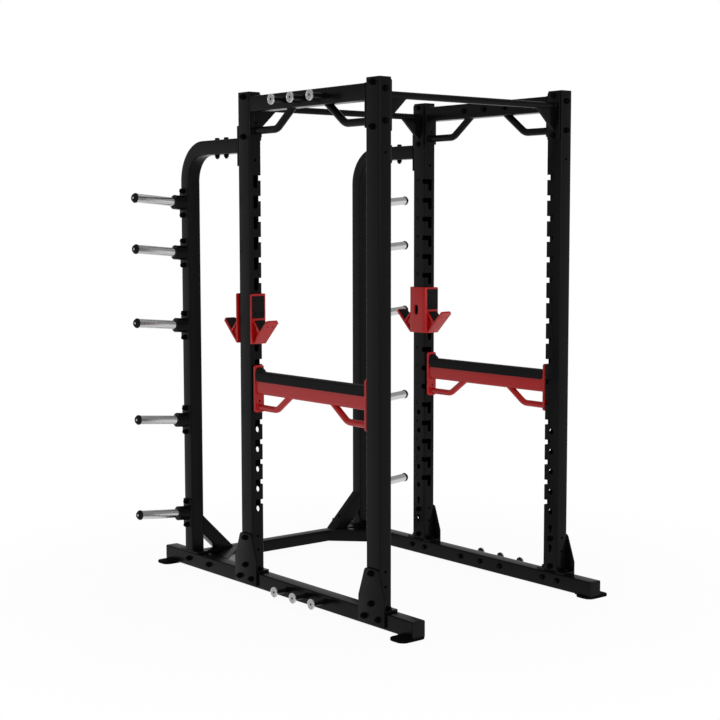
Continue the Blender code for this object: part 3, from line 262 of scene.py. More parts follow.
# Head of a peg, from its dished face outward and back to its neck, as (radius, depth)
PEG_HEAD = (
    (0, PEG_DISH), (0.021, PEG_DISH), (0.022, 0), (0.0238, 0), (0.025, 0.0012),
    (0.025, 0.0030), (0.0238, 0.0036), (0.0238, 0.0044), (0.025, 0.0050),
    (0.025, 0.0068), (0.0238, PEG_HEAD_THICKNESS), (0, PEG_HEAD_THICKNESS),
)

# J-cups
CUP_SLOT = 9
CUP_STEEL = 0.010
CUP_INNER_X = 0.518
CUP_OUTER_X = 0.612
CUP_FRONT_Y = 0.1798
CUP_REAR_Y = 2 * REAR_Y - CUP_FRONT_Y
CUP_SPAN_Z = (1.2235, 1.4685)
CUP_BEND = 0.0196
CUP_BEND_STEPS = 8
CUP_RIM = 0.0010
CUP_CORNER = 0.009
CUP_CORNER_STEPS = 6
CUP_TRIM = (0.001, 0.0005)
CUP_PAST = 0.01
CUP_HOLE_Y = (0.2356, 0.2656)
CUP_HOLE_Z = (1.319, 1.3745)
CUP_HOLE_CORNER = (0.0149, 12)
HOOK_WIDTH = 0.073
WEB_HOOK_X = 0.526
HOOK_TIP = (0.065, 1.3355)
HOOK_FOOT_Z = 1.224
HOOK_STEEL = 0.010
LIP_CHAMFER = 0.010
LIP_SCREW = (0.0032, 0.0012)
LIP_SCREW_SHARES = (0.30, 0.70)
LIP_SCREW_BACK = 0.037
SEAT_HIGH_Z = 1.331
SEAT_LOW = (0.130, 1.278)
SEAT_STEEL = 0.008
SEAT_BITE = 0.3
SEAT_RIM = 0.0006
HOOK_RIB = 0.006
RIB_INSET = 0.009
LINER_THICKNESS = 0.006
LINER_INSET = 0.009
LINER_SETBACK = (0.03, 0.06)
LINER_EDGE = 0.001
LINER_VALLEY = 0.004
LINER_STEPS = 5
WEAR_MARGIN = 0.0005
WEAR_SPAN_X = (0.536, 0.590)
WEAR_END = 0.015
PAD_THICKNESS = 0.005
PAD_CORNER = (0.005, 5)
PAD_RIM = (0.0012, 3)
PAD_SPAN_X = (0.536, 0.608)
PAD_SPAN_Z = (1.350, 1.4585)
PAD_SCREW = (0.0042, 0.0008)
PAD_SCREW_INSET = (0.016, 0.022)

# Safety arms
ARM_SLOT = 6
ARM_PLATE_THICKNESS = 0.0145
ARM_PLATE_SPACE = 0.0085
ARM_PLATE_WIDTH = 0.054
ARM_PLATE_BOTTOM = 0.8855
ARM_PLATE_TOP = 1.1185
ARM_PLATE_CORNER = (0.010, 8)
ARM_HOLE = (UPRIGHT_X, 0.942, 0.005, HOLE_SIDES)
# Plastic spacers fill the gap between each arm's end plates and its uprights, and also stand as a
# dark sheet that paints the shade in that gap
ARM_SHADE_SPACER_BOTTOM = 0.954
ARM_SHADE_SPACER_MARGIN = 0.004
ARM_SHADE_SPACER_CORNER = (0.006, 4)
ARM_TUBE_WIDTH = 0.040
ARM_TUBE_BOTTOM = 0.9765
ARM_TUBE_TOP = 1.082
ARM_TUBE_CORNER = 0.015
ARM_TUBE_WALL = 0.003
ARM_LINER_WIDTH = 0.054
ARM_LINER_BOTTOM = 1.041
ARM_LINER_TOP = 1.088
ARM_LINER_RADII = (0.011, 0.012)
ARM_LINER_EDGE = 0.001
ARM_LINER_STEPS = 6
ARM_LINER_CHAMFER = 0.015
ARM_LINER_PAST = 0.005
ARM_STOP_TOP = 1.109
ARM_STOP_LENGTH = 0.026
ARM_STOP_LEVEL = 0.008
ARM_STOP_EDGE = 0.003
ARM_STOP_ROOT = 0.004
ARM_STOP_WIDTH = 0.045
ARM_STOP_ARCH = 0.0215
ARM_STOP_ARCH_STEPS = 12

# Corners of the arms' tube, and the outer and inner faces of their end plates
ARM_TUBE_CORNERS = (ARM_TUBE_CORNER, 8), (ARM_TUBE_CORNER - ARM_TUBE_WALL, 6)
ARM_REAR, ARM_FRONT = BAY_REAR - ARM_PLATE_SPACE, BAY_FRONT + ARM_PLATE_SPACE
ARM_INNER_REAR, ARM_INNER_FRONT = ARM_REAR - ARM_PLATE_THICKNESS, ARM_FRONT + ARM_PLATE_THICKNESS

# Grab handles: height, straight stretch, reach, underside of their tube, radius, bend radius
TOP_HANDLE = (2.259, 0.175, 0.296, BEAM_BOTTOM, 0.018, 0.070)
ARM_HANDLE = (0.910, 0.150, 0.245, ARM_TUBE_BOTTOM, 0.0155, 0.065)
HANDLE_STEPS = 14
HANDLE_ROUNDNESS = 12
HANDLE_ROOT = 0.003

# Directions of an outline's two coordinates and of its thickness, for each axis
AXES = {
    "x": Matrix(((0, 0, 1), (1, 0, 0), (0, 1, 0))).to_4x4(),
    "y": Matrix(((1, 0, 0), (0, 0, -1), (0, 1, 0))).to_4x4(),
    "z": Matrix.Identity(4),
}
X, Y, Z = Vector((1, 0, 0)), Vector((0, 1, 0)), Vector((0, 0, 1))
ALONG = {"x": X, "y": Y, "z": Z}

# The photograph's camera: place in metres, turn in degrees, lens and sensor in millimetres
CAMERA_PLACE = (-4.7469, -5.7689, 1.8176)
CAMERA_YAW = 39.0
CAMERA_PITCH = 5.315
CAMERA_ROLL = -0.09
CAMERA_LENS = 74.1
SENSOR = 36.0

# Maps are (from low, from high, to low, to high). The floor keeps a faint shadow within 1.2 m,
# is white to the camera beyond 2.6 m, and gives 0.75 of that white to other light
FLOOR_SIZE = 60
FLOOR_GREY = 0.85
FLOOR_FADE = (1.2, 2.6, 0.95, 1.0)
FLOOR_LIT = 0.75
# The sky lights the rack at this level. The camera sees it white, and mirror images of it
# darken from white below the horizon to this level above it
SKY_LEVEL = 0.42
CEILING = (-0.04, 0.24, 1.0, 0.42)

# Soft square lamps: name, place, target, side and radiance
LAMPS = (
    ("key", (-1.0, -7.0, 3.2), (0, 0, 1.2), 4.0, 3.4),
    ("side", (6.5, -2.5, 2.5), (0, 0, 1.2), 3.0, 0.8),
    ("top", (0, 0, 7.5), (0, 0, 0), 6.0, 0.8),
)

# Edges sharper than this stay sharp, and the depth of the finest relief
SHARP = math.radians(32)
RELIEF_DEPTH = 0.0004


def linked(name, data):
    """Put data on a new object in the scene."""
    thing = bpy.data.objects.new(name, data)
    bpy.context.scene.collection.objects.link(thing)
    return thing


def evaluated(data, modify=None):
    """Return the mesh that data gives on a passing object, after its modifiers."""
    carrier = linked("carrier", data)
    if modify:
        modify(carrier)
    graph = bpy.context.evaluated_depsgraph_get()
    mesh = bpy.data.meshes.new_from_object(carrier.evaluated_get(graph))
    bpy.data.objects.remove(carrier)
    return mesh


def finished(shape):
    """Turn a bmesh into a mesh."""
    mesh = bpy.data.meshes.new("piece")
    shape.to_mesh(mesh)
    shape.free()
    return mesh


def closed(mesh):
    """Weld loose caps to their sides and turn every face outward."""
    shape = bmesh.new()
    shape.from_mesh(mesh)
    bmesh.ops.remove_doubles(shape, verts=shape.verts, dist=MERGE)
    bmesh.ops.recalc_face_normals(shape, faces=shape.faces)
    shape.to_mesh(mesh)
    shape.free()
    return mesh


def new_curve(dimensions):
    """Return an empty curve in the plane or in space."""
    curve = bpy.data.curves.new("outline", "CURVE")
    curve.dimensions = dimensions
    return curve


def add_line(curve, points, ring=True):
    """Add straight stretches through points in the plane or in space to a curve."""
    line = curve.splines.new("POLY")
    line.points.add(len(points) - 1)
    for point, place in zip(line.points, points):
        point.co = (*Vector(place).to_3d(), 1.0)
    line.use_cyclic_u = ring


def slab(loops, span, axis, edge=0.0, steps=2):
    """Extrude an outline, and the holes after it, along an axis, with rims rounded by edge."""
    curve = new_curve("2D")
    curve.fill_mode = "BOTH"
    low, high = sorted(span)
    curve.extrude = (high - low) / 2 - edge
    curve.bevel_depth = edge
    curve.bevel_resolution = steps
    curve.offset = -edge
    for loop in loops:
        add_line(curve, loop)
    mesh = closed(evaluated(curve))
    mesh.transform(Matrix.Translation(ALONG[axis] * (low + high) / 2) @ AXES[axis])
    return mesh


def square_tube(u, v, span, axis, wall=TUBE_WALL, outside=OUTER_CORNER, inside=INNER_CORNER):
    """Return an open tube over two spans; outside and inside are its corners."""
    hollow = rectangle(shrunk(u, wall), shrunk(v, wall), *inside)
    return slab([rectangle(u, v, *outside), hollow], span, axis)


def plate(u, v, span, axis, corner=PLATE_CORNER, rim=RIM, holes=()):
    """Return a plate over two spans with rounded corners, soft rims and its holes."""
    return slab([rectangle(u, v, *corner), *holes], span, axis, *rim)


def tube_cap(u, v, span, axis):
    """Return the plastic cap on the end of a square tube."""
    return plate(shrunk(u, CAP_INSET), shrunk(v, CAP_INSET), span, axis, OUTER_CORNER, CAP_RIM)


def box(x, y, z):
    """Return a box over three spans."""
    spans = [sorted(span) for span in (x, y, z)]
    middle = Vector([sum(span) / 2 for span in spans])
    size = Vector([high - low for low, high in spans])
    shape = bmesh.new()
    matrix = Matrix.Translation(middle) @ Matrix.Diagonal(size).to_4x4()
    bmesh.ops.create_cube(shape, size=1.0, matrix=matrix)
    return finished(shape)


def pointing(place, direction):
    """Return the matrix that stands a +Z piece on a place, along a direction."""
    turn = Vector(direction).to_track_quat("Z", "Y").to_matrix().to_4x4()
    return Matrix.Translation(place) @ turn


def frame_at(place, x, y, z):
    """Return the matrix of a frame with these axes at a place."""
    return Matrix.Translation(place) @ Matrix((x, y, z)).transposed().to_4x4()


def rod(start, end, radius, sides=ROUND_SIDES):
    """Return a round bar between two points."""
    start, end = Vector(start), Vector(end)
    shape = bmesh.new()
    bmesh.ops.create_cone(
        shape, cap_ends=True, segments=sides, radius1=radius, radius2=radius,
        depth=(end - start).length, matrix=pointing((start + end) / 2, end - start),
    )
    return finished(shape)


def turned(profile, matrix=AXES["z"], sides=ROUND_SIDES):
    """Turn a profile of (radius, height), listed from the top down, about an axis."""
    mesh = bpy.data.meshes.new("profile")
    points = [(radius, 0.0, height) for radius, height in profile]
    edges = [(index, index + 1) for index in range(len(points) - 1)]
    mesh.from_pydata(points, edges, [])

    def add_screw(carrier):
        screw = carrier.modifiers.new("turn", "SCREW")
        screw.steps = sides
        screw.render_steps = sides
        screw.use_merge_vertices = True
        screw.merge_threshold = MERGE

    piece = closed(evaluated(mesh, add_screw))
    piece.transform(matrix)
    return piece


def round_bar(path, radius, roundness, ring=False):
    """Return a bar of round section along a path in space, or along a closed ring."""
    curve = new_curve("3D")
    curve.bevel_depth = radius
    curve.bevel_resolution = roundness
    curve.use_fill_caps = not ring
    add_line(curve, path, ring)
    return closed(evaluated(curve))


def swept_square(path, width, corner):
    """Sweep a square section with rounded corners along a path that stays in one x plane."""
    section = new_curve("2D")
    add_line(section, rectangle(around(0, width), around(0, width), corner, SWEPT_STEPS))
    shape = linked("section", section)
    curve = new_curve("3D")
    curve.bevel_mode = "OBJECT"
    curve.bevel_object = shape
    curve.use_fill_caps = True
    add_line(curve, path, ring=False)
    mesh = closed(evaluated(curve))
    bpy.data.objects.remove(shape)
    return mesh


def joined(meshes):
    """Put separate shapes into one mesh."""
    shape = bmesh.new()
    for mesh in meshes:
        shape.from_mesh(mesh)
    return finished(shape)


def combined(base, tool, operation):
    """Return the Boolean of two meshes."""
    cutter = linked("cutter", tool)

    def add_boolean(carrier):
        modifier = carrier.modifiers.new("combine", "BOOLEAN")
        modifier.operation = operation
        modifier.solver = "EXACT"
        modifier.object = cutter

    mesh = evaluated(base, add_boolean)
    bpy.data.objects.remove(cutter)
    return mesh


def cut(base, *tools):
    """Cut tools that don't touch each other out of a shape."""
    return combined(base, joined(tools), "DIFFERENCE")


def placed(mesh, matrix):
    """Return a copy of a mesh, moved and turned by a matrix."""
    copy = mesh.copy()
    copy.transform(matrix)
    return copy


def mirrored(mesh, axis, middle=0.0):
    """Return the mirror image of a mesh across a plane square to an axis."""
    normal = ALONG[axis]
    flip = Matrix.Translation(normal * 2 * middle) @ Matrix.Scale(-1, 4, normal)
    copy = placed(mesh, flip)
    copy.flip_normals()
    return copy


def rounded(corners, steps=2, ring=True):
    """Return the points of an outline or path whose corners (u, v, radius) are arcs."""
    points = []
    for index, (u, v, radius) in enumerate(corners):
        corner = Vector((u, v))
        at_end = not ring and index in (0, len(corners) - 1)
        if radius == 0 or at_end:
            points.append(corner)
            continue
        before = (Vector(corners[index - 1][:2]) - corner).normalized()
        after = (Vector(corners[(index + 1) % len(corners)][:2]) - corner).normalized()
        half = before.angle(after) / 2
        centre = corner + (before + after).normalized() * radius / math.sin(half)
        first = corner + before * radius / math.tan(half) - centre
        last = corner + after * radius / math.tan(half) - centre
        start = math.atan2(first.y, first.x)
        sweep = (math.atan2(last.y, last.x) - start + math.pi) % math.tau - math.pi
        for step in range(steps + 1):
            angle = start + sweep * step / steps
            points.append(centre + radius * Vector((math.cos(angle), math.sin(angle))))
    return points


def rectangle(u, v, radius=0.0, steps=1):
    """Return a rectangle's outline over two spans, with rounded corners."""
    (u0, u1), (v0, v1) = sorted(u), sorted(v)
    corners = [(u0, v0, radius), (u1, v0, radius), (u1, v1, radius), (u0, v1, radius)]
    return rounded(corners, steps)


def circle(u, v, radius, sides=ROUND_SIDES):
    """Return a circle's outline."""
    angles = [math.tau * (index + 0.5) / sides for index in range(sides)]
    return [(u + radius * math.cos(angle), v + radius * math.sin(angle)) for angle in angles]


def around(middle, width):
    """Return the span of a width about its middle."""
    return middle - width / 2, middle + width / 2


def shrunk(span, margin):
    """Return a span drawn in at both ends."""
    return span[0] + margin, span[1] - margin


def offset_line(start, end, distance):
    """Return a line moved to its left by a distance."""
    start, end = Vector(start), Vector(end)
    along = (end - start).normalized()
    normal = Vector((-along.y, along.x))
    return start + normal * distance, end + normal * distance


def crossing(first, second):
    """Return the point where two lines cross."""
    (a, b), (c, d) = first, second
    along, other = b - a, d - c
    share = (c - a).cross(other) / along.cross(other)
    return a + along * share


def at_y(line, y):
    """Return the point of a line at one y."""
    start, end = line
    return start + (end - start) * (y - start.x) / (end.x - start.x)


def bead(loop, radius=BEAD_RADIUS):
    """Return a weld bead along a closed path in space."""
    return round_bar(loop, radius, BEAD_ROUNDNESS, ring=True)


def weld_round(u, v, lift, axis, corner=TUBE_CORNER):
    """Return the weld bead round a square tube, at a height along an axis."""
    to_space = Matrix.Translation(ALONG[axis] * lift) @ AXES[axis]
    loop = rectangle(u, v, corner, BEAD_CORNER_STEPS)
    return bead([to_space @ Vector((*point, 0.0)) for point in loop])


def weld_ring(centre, right, up, radius, size=WIDE_BEAD):
    """Return the weld bead round a bar, on a face that two directions span."""
    angles = [math.tau * index / RING_SIDES for index in range(RING_SIDES)]
    return bead([Vector(centre) + right * radius * math.cos(angle) + up * radius * math.sin(angle)
                 for angle in angles], size)


def disc(radius, low, high, edge=0.0006, sides=DISC_SIDES):
    """Return a disc with a softened top edge."""
    profile = [(0, high), (radius - edge, high), (radius, high - edge), (radius, low), (0, low)]
    return turned(profile, sides=sides)


def hexagon(radius, low, high, flat=0.84, chamfer=0.0012):
    """Return a hexagon prism with a chamfered top; flat is the share that stays level."""
    profile = [
        (0, high), (radius * flat, high), (radius, high - chamfer), (radius, low), (0, low),
    ]
    return turned(profile, sides=6)


def socket_screw(radius, height):
    """Return a low round screw head with a hexagon socket, in shares of its two sizes."""
    head = turned([
        (0, height), (radius * 0.62, height), (radius * 0.9, height * 0.7),
        (radius, height * 0.25), (radius, -WELD), (0, -WELD),
    ], sides=DISC_SIDES)
    width, floor, above = radius * 0.45, height * 0.3, height + WELD
    socket = turned([(0, above), (width, above), (width, floor), (0, floor)], sides=6)
    return cut(head, socket)


def bolted(kind, x, y, z, direction):
    """Return copies of a +Z fastener along a direction, at every place that x, y and z give."""
    values = [value if isinstance(value, (list, tuple)) else [value] for value in (x, y, z)]
    matrices = [pointing(place, direction) for place in itertools.product(*values)]
    return [placed(mesh, matrix) for matrix in matrices for mesh in kind]


# Fasteners: a washer, a hexagon and, on the nut, the end of its bolt
NUT = [
    disc(0.0150, -WELD, 0.0025), hexagon(0.0135, 0.002, 0.0145),
    disc(0.0075, 0.012, 0.0215, 0.0020, HOLE_SIDES),
]
HEAD = [disc(0.0145, -WELD, 0.0025), hexagon(0.0128, 0.002, 0.0120)]
SMALL_HEAD = [disc(0.0085, -WELD, 0.0018), hexagon(0.0068, 0.0015, 0.0060)]


def wire(tree, node, inputs):
    """Set a node's inputs, by name or number, to values or links."""
    for key, value in inputs.items():
        if isinstance(value, bpy.types.NodeSocket):
            tree.links.new(value, node.inputs[key])
        else:
            node.inputs[key].default_value = value


def node_of(tree, kind, inputs=None, **settings):
    """Add a shader node with its settings and inputs, and return its outputs."""
    node = tree.nodes.new("ShaderNode" + kind)
    for name, value in settings.items():
        setattr(node, name, value)
    wire(tree, node, inputs or {})
    return node.outputs


def blend(tree, factor, low, high):
    """Return a blend from one colour or number to another, driven by a factor."""
    if isinstance(low, tuple):
        ends = {6: (*low, 1.0), 7: (*high, 1.0)}
        return node_of(tree, "Mix", {0: factor, **ends}, data_type="RGBA")[2]
    return node_of(tree, "Mix", {0: factor, 2: low, 3: high}, data_type="FLOAT")[0]


def maths(tree, operation, first, second):
    """Return the result of a maths node."""
    return node_of(tree, "Math", {0: first, 1: second}, operation=operation)[0]


def mapped(tree, value, ends, **settings):
    """Return a value that is mapped from one range to another."""
    inputs = dict(zip(("From Min", "From Max", "To Min", "To Max"), ends))
    return node_of(tree, "MapRange", {"Value": value, **inputs}, **settings)["Result"]


def finish_of(name, colours, roughness, grain, relief, metallic=0.0, specular=0.5, patches=6.0):
    """Return a material with drifting colour and gloss and a fine relief."""
    material = bpy.data.materials.new(name)
    material.use_nodes = True
    tree = material.node_tree
    place = node_of(tree, "TexCoord")["Object"]
    drift = node_of(tree, "TexNoise", {
        "Vector": place, "Scale": patches, "Detail": 4.0, "Roughness": 0.6,
    })["Fac"]
    fine = node_of(tree, "TexNoise", {
        "Vector": place, "Scale": grain, "Detail": 2.0, "Roughness": 0.5,
    })["Fac"]
    bump = node_of(tree, "Bump", {"Strength": relief, "Distance": RELIEF_DEPTH, "Height": fine})
    wire(tree, tree.nodes["Principled BSDF"], {
        "Metallic": metallic, "Specular IOR Level": specular,
        "Base Color": blend(tree, drift, *colours), "Roughness": blend(tree, drift, *roughness),
        "Normal": bump["Normal"],
    })
    return material


def grey(level):
    """Return a neutral colour."""
    return (level, level, level)


# Materials: range of colour, range of roughness, fineness and strength of the relief
BLACK = finish_of("black_coat", (grey(0.0026), grey(0.0038)), (0.21, 0.28), 1400.0, 0.07,
                  specular=0.07)
RED = finish_of("red_coat", ((0.37, 0.0012, 0.0016), (0.42, 0.0020, 0.0024)), (0.30, 0.38),
                1400.0, 0.12, specular=0.33)
CHROME = finish_of("chrome_steel", ((0.54, 0.54, 0.55), (0.62, 0.62, 0.63)), (0.19, 0.25),
                   900.0, 0.003, metallic=1.0, patches=24.0)
PLASTIC = finish_of("black_plastic", (grey(0.0075), grey(0.0100)), (0.50, 0.62), 700.0, 0.25,
                    specular=0.05)
HARDWARE = finish_of("black_hardware", (grey(0.0012), grey(0.0020)), (0.34, 0.46), 500.0, 0.08,
                     specular=0.03)
# Feet: the black coat painted darker still and nearly without gloss, as painted shade for the
# shadow under the rails' ends
FOOT_SHADE = finish_of("foot_black_painted_shade", (grey(0.0016), grey(0.0026)), (0.60, 0.75), 500.0, 0.3,
                   specular=0.02)
BRUSHED = finish_of("brushed_steel", ((0.30, 0.30, 0.31), (0.40, 0.40, 0.41)), (0.24, 0.36),
                    1100.0, 0.10, metallic=1.0, patches=60.0)
ZINC = finish_of("zinc_screw", (grey(0.60), grey(0.72)), (0.22, 0.34), 600.0, 0.05, metallic=1.0)
ETCHED = finish_of("etched_number", (grey(0.0006), grey(0.0010)), (0.6, 0.8), 900.0, 0.2,
                   specular=0.0)


def assemble(name, parts, body, nodes):
    """Join meshes, each with its material, into one piece on a body."""
    shape = bmesh.new()
    materials = []
    for mesh, material in parts:
        if material not in materials:
            materials.append(material)
        start = len(shape.faces)
        shape.from_mesh(mesh)
        shape.faces.ensure_lookup_table()
        for face in shape.faces[start:]:
            face.material_index = materials.index(material)
    mesh = finished(shape)
    mesh.name = name
    for material in materials:
        mesh.materials.append(material)
    mesh.shade_smooth()
    mesh.set_sharp_from_angle(angle=SHARP)
    piece = linked(name, mesh)
    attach(piece, body)
    if nodes:
        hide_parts(*nodes)
    return piece


def coated(meshes, material=BLACK):
    """Pair meshes with one material."""
    return [(mesh, material) for mesh in meshes]


def steelwork(steel, bolts):
    """Pair steel and its bolts with their materials."""
    return coated(steel) + coated(bolts, HARDWARE)


def other_side(parts):
    """Return the mirror image of paired meshes, on the other side of the rack."""
    return [(mirrored(mesh, "x"), material) for mesh, material in parts]


def on_both_sides(name, parts, own_node=True, bodies=("frame", "frame")):
    """Set a piece on the right and its mirror image on the left."""
    for end, pieces, body in zip(("left", "right"), (other_side(parts), parts), bodies):
        nodes = [f"{name}_{end}"] if own_node else []
        assemble(f"{name}_{end}.fine", pieces, body, nodes)


def slot_cutter(face_y, side):
    """Return the cutter of one L-shaped slot, with its mouth centred on z = 0."""
    outside = INNER_X - PAST
    half = MOUTH_HEIGHT / 2
    left, right = around(UPRIGHT_X, DROP_WIDTH)
    seat = DROP_WIDTH / 2 * SEAT_ROUNDING
    upper, lower = SLOT_CORNERS
    outline = rounded([
        (outside, half, 0), (right, half, upper), (right, -DROP_DEPTH, seat),
        (left, -DROP_DEPTH, seat), (left, -half, lower), (outside, -half, 0),
    ], SLOT_STEPS)
    past = face_y + side * SLOT_PAST
    front = slab([outline], (past, face_y - side * (UPRIGHT_WALL + SLOT_PAST)), "y")
    span_x = (outside, INNER_X + UPRIGHT_WALL + SLOT_PAST)
    notch = box(span_x, (past, face_y - side * NOTCH_DEPTH), (-half, half))
    return combined(front, notch, "UNION")


def keyhole(middle_y, top):
    """Return the outline of a keyhole: a circle with a slot below it."""
    half = KEYHOLE_SLOT_WIDTH / 2
    opening = math.asin(half / KEYHOLE_RADIUS)
    sweep = math.tau - 2 * opening
    centre_z = top - KEYHOLE_RADIUS
    points = []
    for step in range(KEYHOLE_STEPS + 1):
        angle = opening - math.pi / 2 + sweep * step / KEYHOLE_STEPS
        points.append((middle_y + KEYHOLE_RADIUS * math.cos(angle),
                       centre_z + KEYHOLE_RADIUS * math.sin(angle)))
    low, corner = top - KEYHOLE_HEIGHT, KEYHOLE_CORNER
    return points + [(middle_y - half, low + corner), (middle_y - half + corner, low),
                     (middle_y + half - corner, low), (middle_y + half, low + corner)]


def add_upright(name, middle_y, side, outer_bolts):
    """Set up an upright with its slots, holes, base plate, cap and bolts."""
    span_y = around(middle_y, UPRIGHT_DEPTH)
    cap_z = RACK_TOP - CAP_THICKNESS
    tube_z = (POST_FOOT_Z + UPRIGHT_START, cap_z)
    tube = square_tube(UPRIGHT_SPAN, span_y, tube_z, "z", UPRIGHT_WALL)
    slot = slot_cutter(middle_y + side * UPRIGHT_DEPTH / 2, side)
    cutters = [placed(slot, Matrix.Translation((0, 0, height))) for height in SLOT_HEIGHTS]
    holes = [circle(middle_y, z, ROUND_HOLE_RADIUS, DISC_SIDES) for z in ROUND_HOLES_Z]
    holes += [keyhole(middle_y, top) for top in KEYHOLE_TOPS]
    through_wall = (INNER_X - PAST, INNER_X + UPRIGHT_WALL + SLOT_PAST)
    cutters += [slab([hole], through_wall, "x") for hole in holes]
    start, end = shrunk(span_y, -PAST)
    cutters += [
        rod((UPRIGHT_X, start, z), (UPRIGHT_X, end, z), SMALL_HOLE_RADIUS, SMALL_HOLE_SIDES)
        for z in SMALL_HOLES_Z
    ]
    plate_y = around(middle_y, UPRIGHT_PLATE_LENGTH)
    steel = [
        cut(tube, *cutters), plate(UPRIGHT_SPAN, plate_y, (POST_FOOT_Z, BASE_TOP), "z"),
        weld_round(UPRIGHT_SPAN, span_y, BASE_TOP, "z"),
    ]
    outer_y = middle_y - side * UPRIGHT_DEPTH / 2
    foot_bolts = around(middle_y, (UPRIGHT_PLATE_LENGTH + UPRIGHT_DEPTH) / 2)
    bolts = bolted(NUT, UPRIGHT_X, outer_y, outer_bolts, (0, -side, 0))
    bolts += bolted(NUT, OUTER_X, middle_y, BAR_BOLT_HEIGHTS, X)
    bolts += bolted(NUT, INNER_X, middle_y, GUSSET_BOLT_HEIGHTS, -X)
    bolts += bolted(HEAD, UPRIGHT_X, foot_bolts, BASE_TOP, Z)
    cap = tube_cap(UPRIGHT_SPAN, span_y, (cap_z, RACK_TOP), "z")
    on_both_sides(name, steelwork(steel, bolts))
    on_both_sides(f"{name}_cap", coated([cap], PLASTIC), own_node=False)


def add_numbers(name, middle_y):
    """Set the slots' numbers on an upright's inner face, barely proud of it."""
    for end, sign in (("left", -1), ("right", 1)):
        turn = Matrix(((0, 0, -sign), (-sign, 0, 0), (0, 1, 0))).to_4x4()
        digits = []
        for number, height in enumerate(SLOT_HEIGHTS, start=1):
            text = bpy.data.curves.new("digits", "FONT")
            text.body = str(number)
            text.size = NUMBER_SIZE
            text.offset = NUMBER_WEIGHT
            text.align_x = "CENTER"
            text.align_y = "CENTER"
            text.extrude = NUMBER_RELIEF
            mesh = evaluated(text)
            place = (sign * INNER_X, middle_y, height + NUMBER_LIFT)
            mesh.transform(Matrix.Translation(place) @ turn)
            digits.append(mesh)
        assemble(f"{name}_numbers_{end}", coated(digits, ETCHED), "frame", [])


def add_base_rails():
    """Set up the base rails with end caps, feet, drains, welds and the bolts on them."""
    span_z = (RAIL_BOTTOM, RAIL_TOP)
    cap_start = RAIL_END_Y - CAP_THICKNESS
    rail = square_tube(RAIL_SPAN, span_z, (-cap_start, cap_start), "y")
    low, high = RAIL_BOTTOM - WELD, RAIL_BOTTOM + TUBE_WALL + WELD
    drains = [rod((RAIL_X, y, low), (RAIL_X, y, high), DRAIN_RADIUS, HOLE_SIDES)
              for y in (-FOOT_INNER_Y / 2, FOOT_INNER_Y / 2)]
    steel = [cut(rail, *drains)]
    caps, feet = [], []
    for end in (-1, 1):
        feet.append(plate(FOOT_SPAN, (end * FOOT_INNER_Y, end * FOOT_OUTER_Y),
                          (0, FOOT_THICKNESS), "z", FOOT_CORNER, CAP_RIM))
        for x in RAIL_SPAN:
            steel.append(rod((x, end * FOOT_INNER_Y, FOOT_THICKNESS),
                             (x, end * cap_start, FOOT_THICKNESS), WIDE_BEAD, BEAD_SIDES))
        caps.append(tube_cap(RAIL_SPAN, span_z, (end * cap_start, end * RAIL_END_Y), "y"))
    strut_bolts = ((CROSS_FRONT + CROSS_REAR) / 2, STRUT_BOLT_Y)
    gusset_bolts = [
        bolt_y for middle_y in (REAR_Y, FRONT_Y)
        for bolt_y in around(middle_y, GUSSET_LOW_BOLT_PITCH)
    ]
    _, _, peg_z, pegs_y = PEGS[1]
    bolts = bolted(NUT, RAIL_OUTER_X, strut_bolts, GUSSET_LOW_BOLT_Z, X)
    bolts += bolted(HEAD, RAIL_INNER_X, gusset_bolts, GUSSET_LOW_BOLT_Z, -X)
    bolts += bolted(HEAD, RAIL_INNER_X, pegs_y, peg_z, -X)
    # The feet take the darker finish, which is painted shade
    on_both_sides("base_rail", coated(steel) + coated(feet, FOOT_SHADE) + coated(bolts, HARDWARE))
    on_both_sides("base_rail_caps", coated(caps, PLASTIC), own_node=False)


def add_gusset_plates(name, middle_y):
    """Set up the bolted plate that ties an upright's foot to its rail."""
    foot, shoulder, top = GUSSET_RADII
    low, high = around(middle_y, UPRIGHT_PLATE_LENGTH)
    top_low, top_high = around(middle_y, GUSSET_TOP_WIDTH)
    outline = rounded([
        (low, GUSSET_BOTTOM, foot), (high, GUSSET_BOTTOM, foot), (high, GUSSET_SHOULDER, shoulder),
        (top_high, GUSSET_TOP, top), (top_low, GUSSET_TOP, top), (low, GUSSET_SHOULDER, shoulder),
    ], GUSSET_STEPS)
    inner = OUTER_X + GAP
    outer = inner + GUSSET_THICKNESS
    low_bolts = around(middle_y, GUSSET_LOW_BOLT_PITCH)
    bolts = bolted(NUT, outer, middle_y, GUSSET_BOLT_HEIGHTS, X)
    bolts += bolted(NUT, outer, low_bolts, GUSSET_LOW_BOLT_Z, X)
    on_both_sides(name, steelwork([slab([outline], (inner, outer), "x", GUSSET_RIM)], bolts))


def storage_path(extra):
    """Return the storage post's middle line, drawn on past both its ends by extra."""
    corners = [
        (STORAGE_Y, BASE_TOP + GAP - extra, 0),
        (STORAGE_Y, STORAGE_ARM_Z, STORAGE_BEND_RADIUS),
        (STORAGE_ARM_FRONT - extra, STORAGE_ARM_Z, 0),
    ]
    return [(RAIL_X, y, z) for y, z in rounded(corners, BEND_STEPS, ring=False)]


def horn_matrix(height):
    """Return the frame of a horn: its Z axis leaves the bracket plate, tilted up."""
    lean = Matrix.Rotation(math.pi / 2 - HORN_TILT, 4, "Y")
    return Matrix.Translation((HORN_FACE_X, STORAGE_Y, height)) @ lean


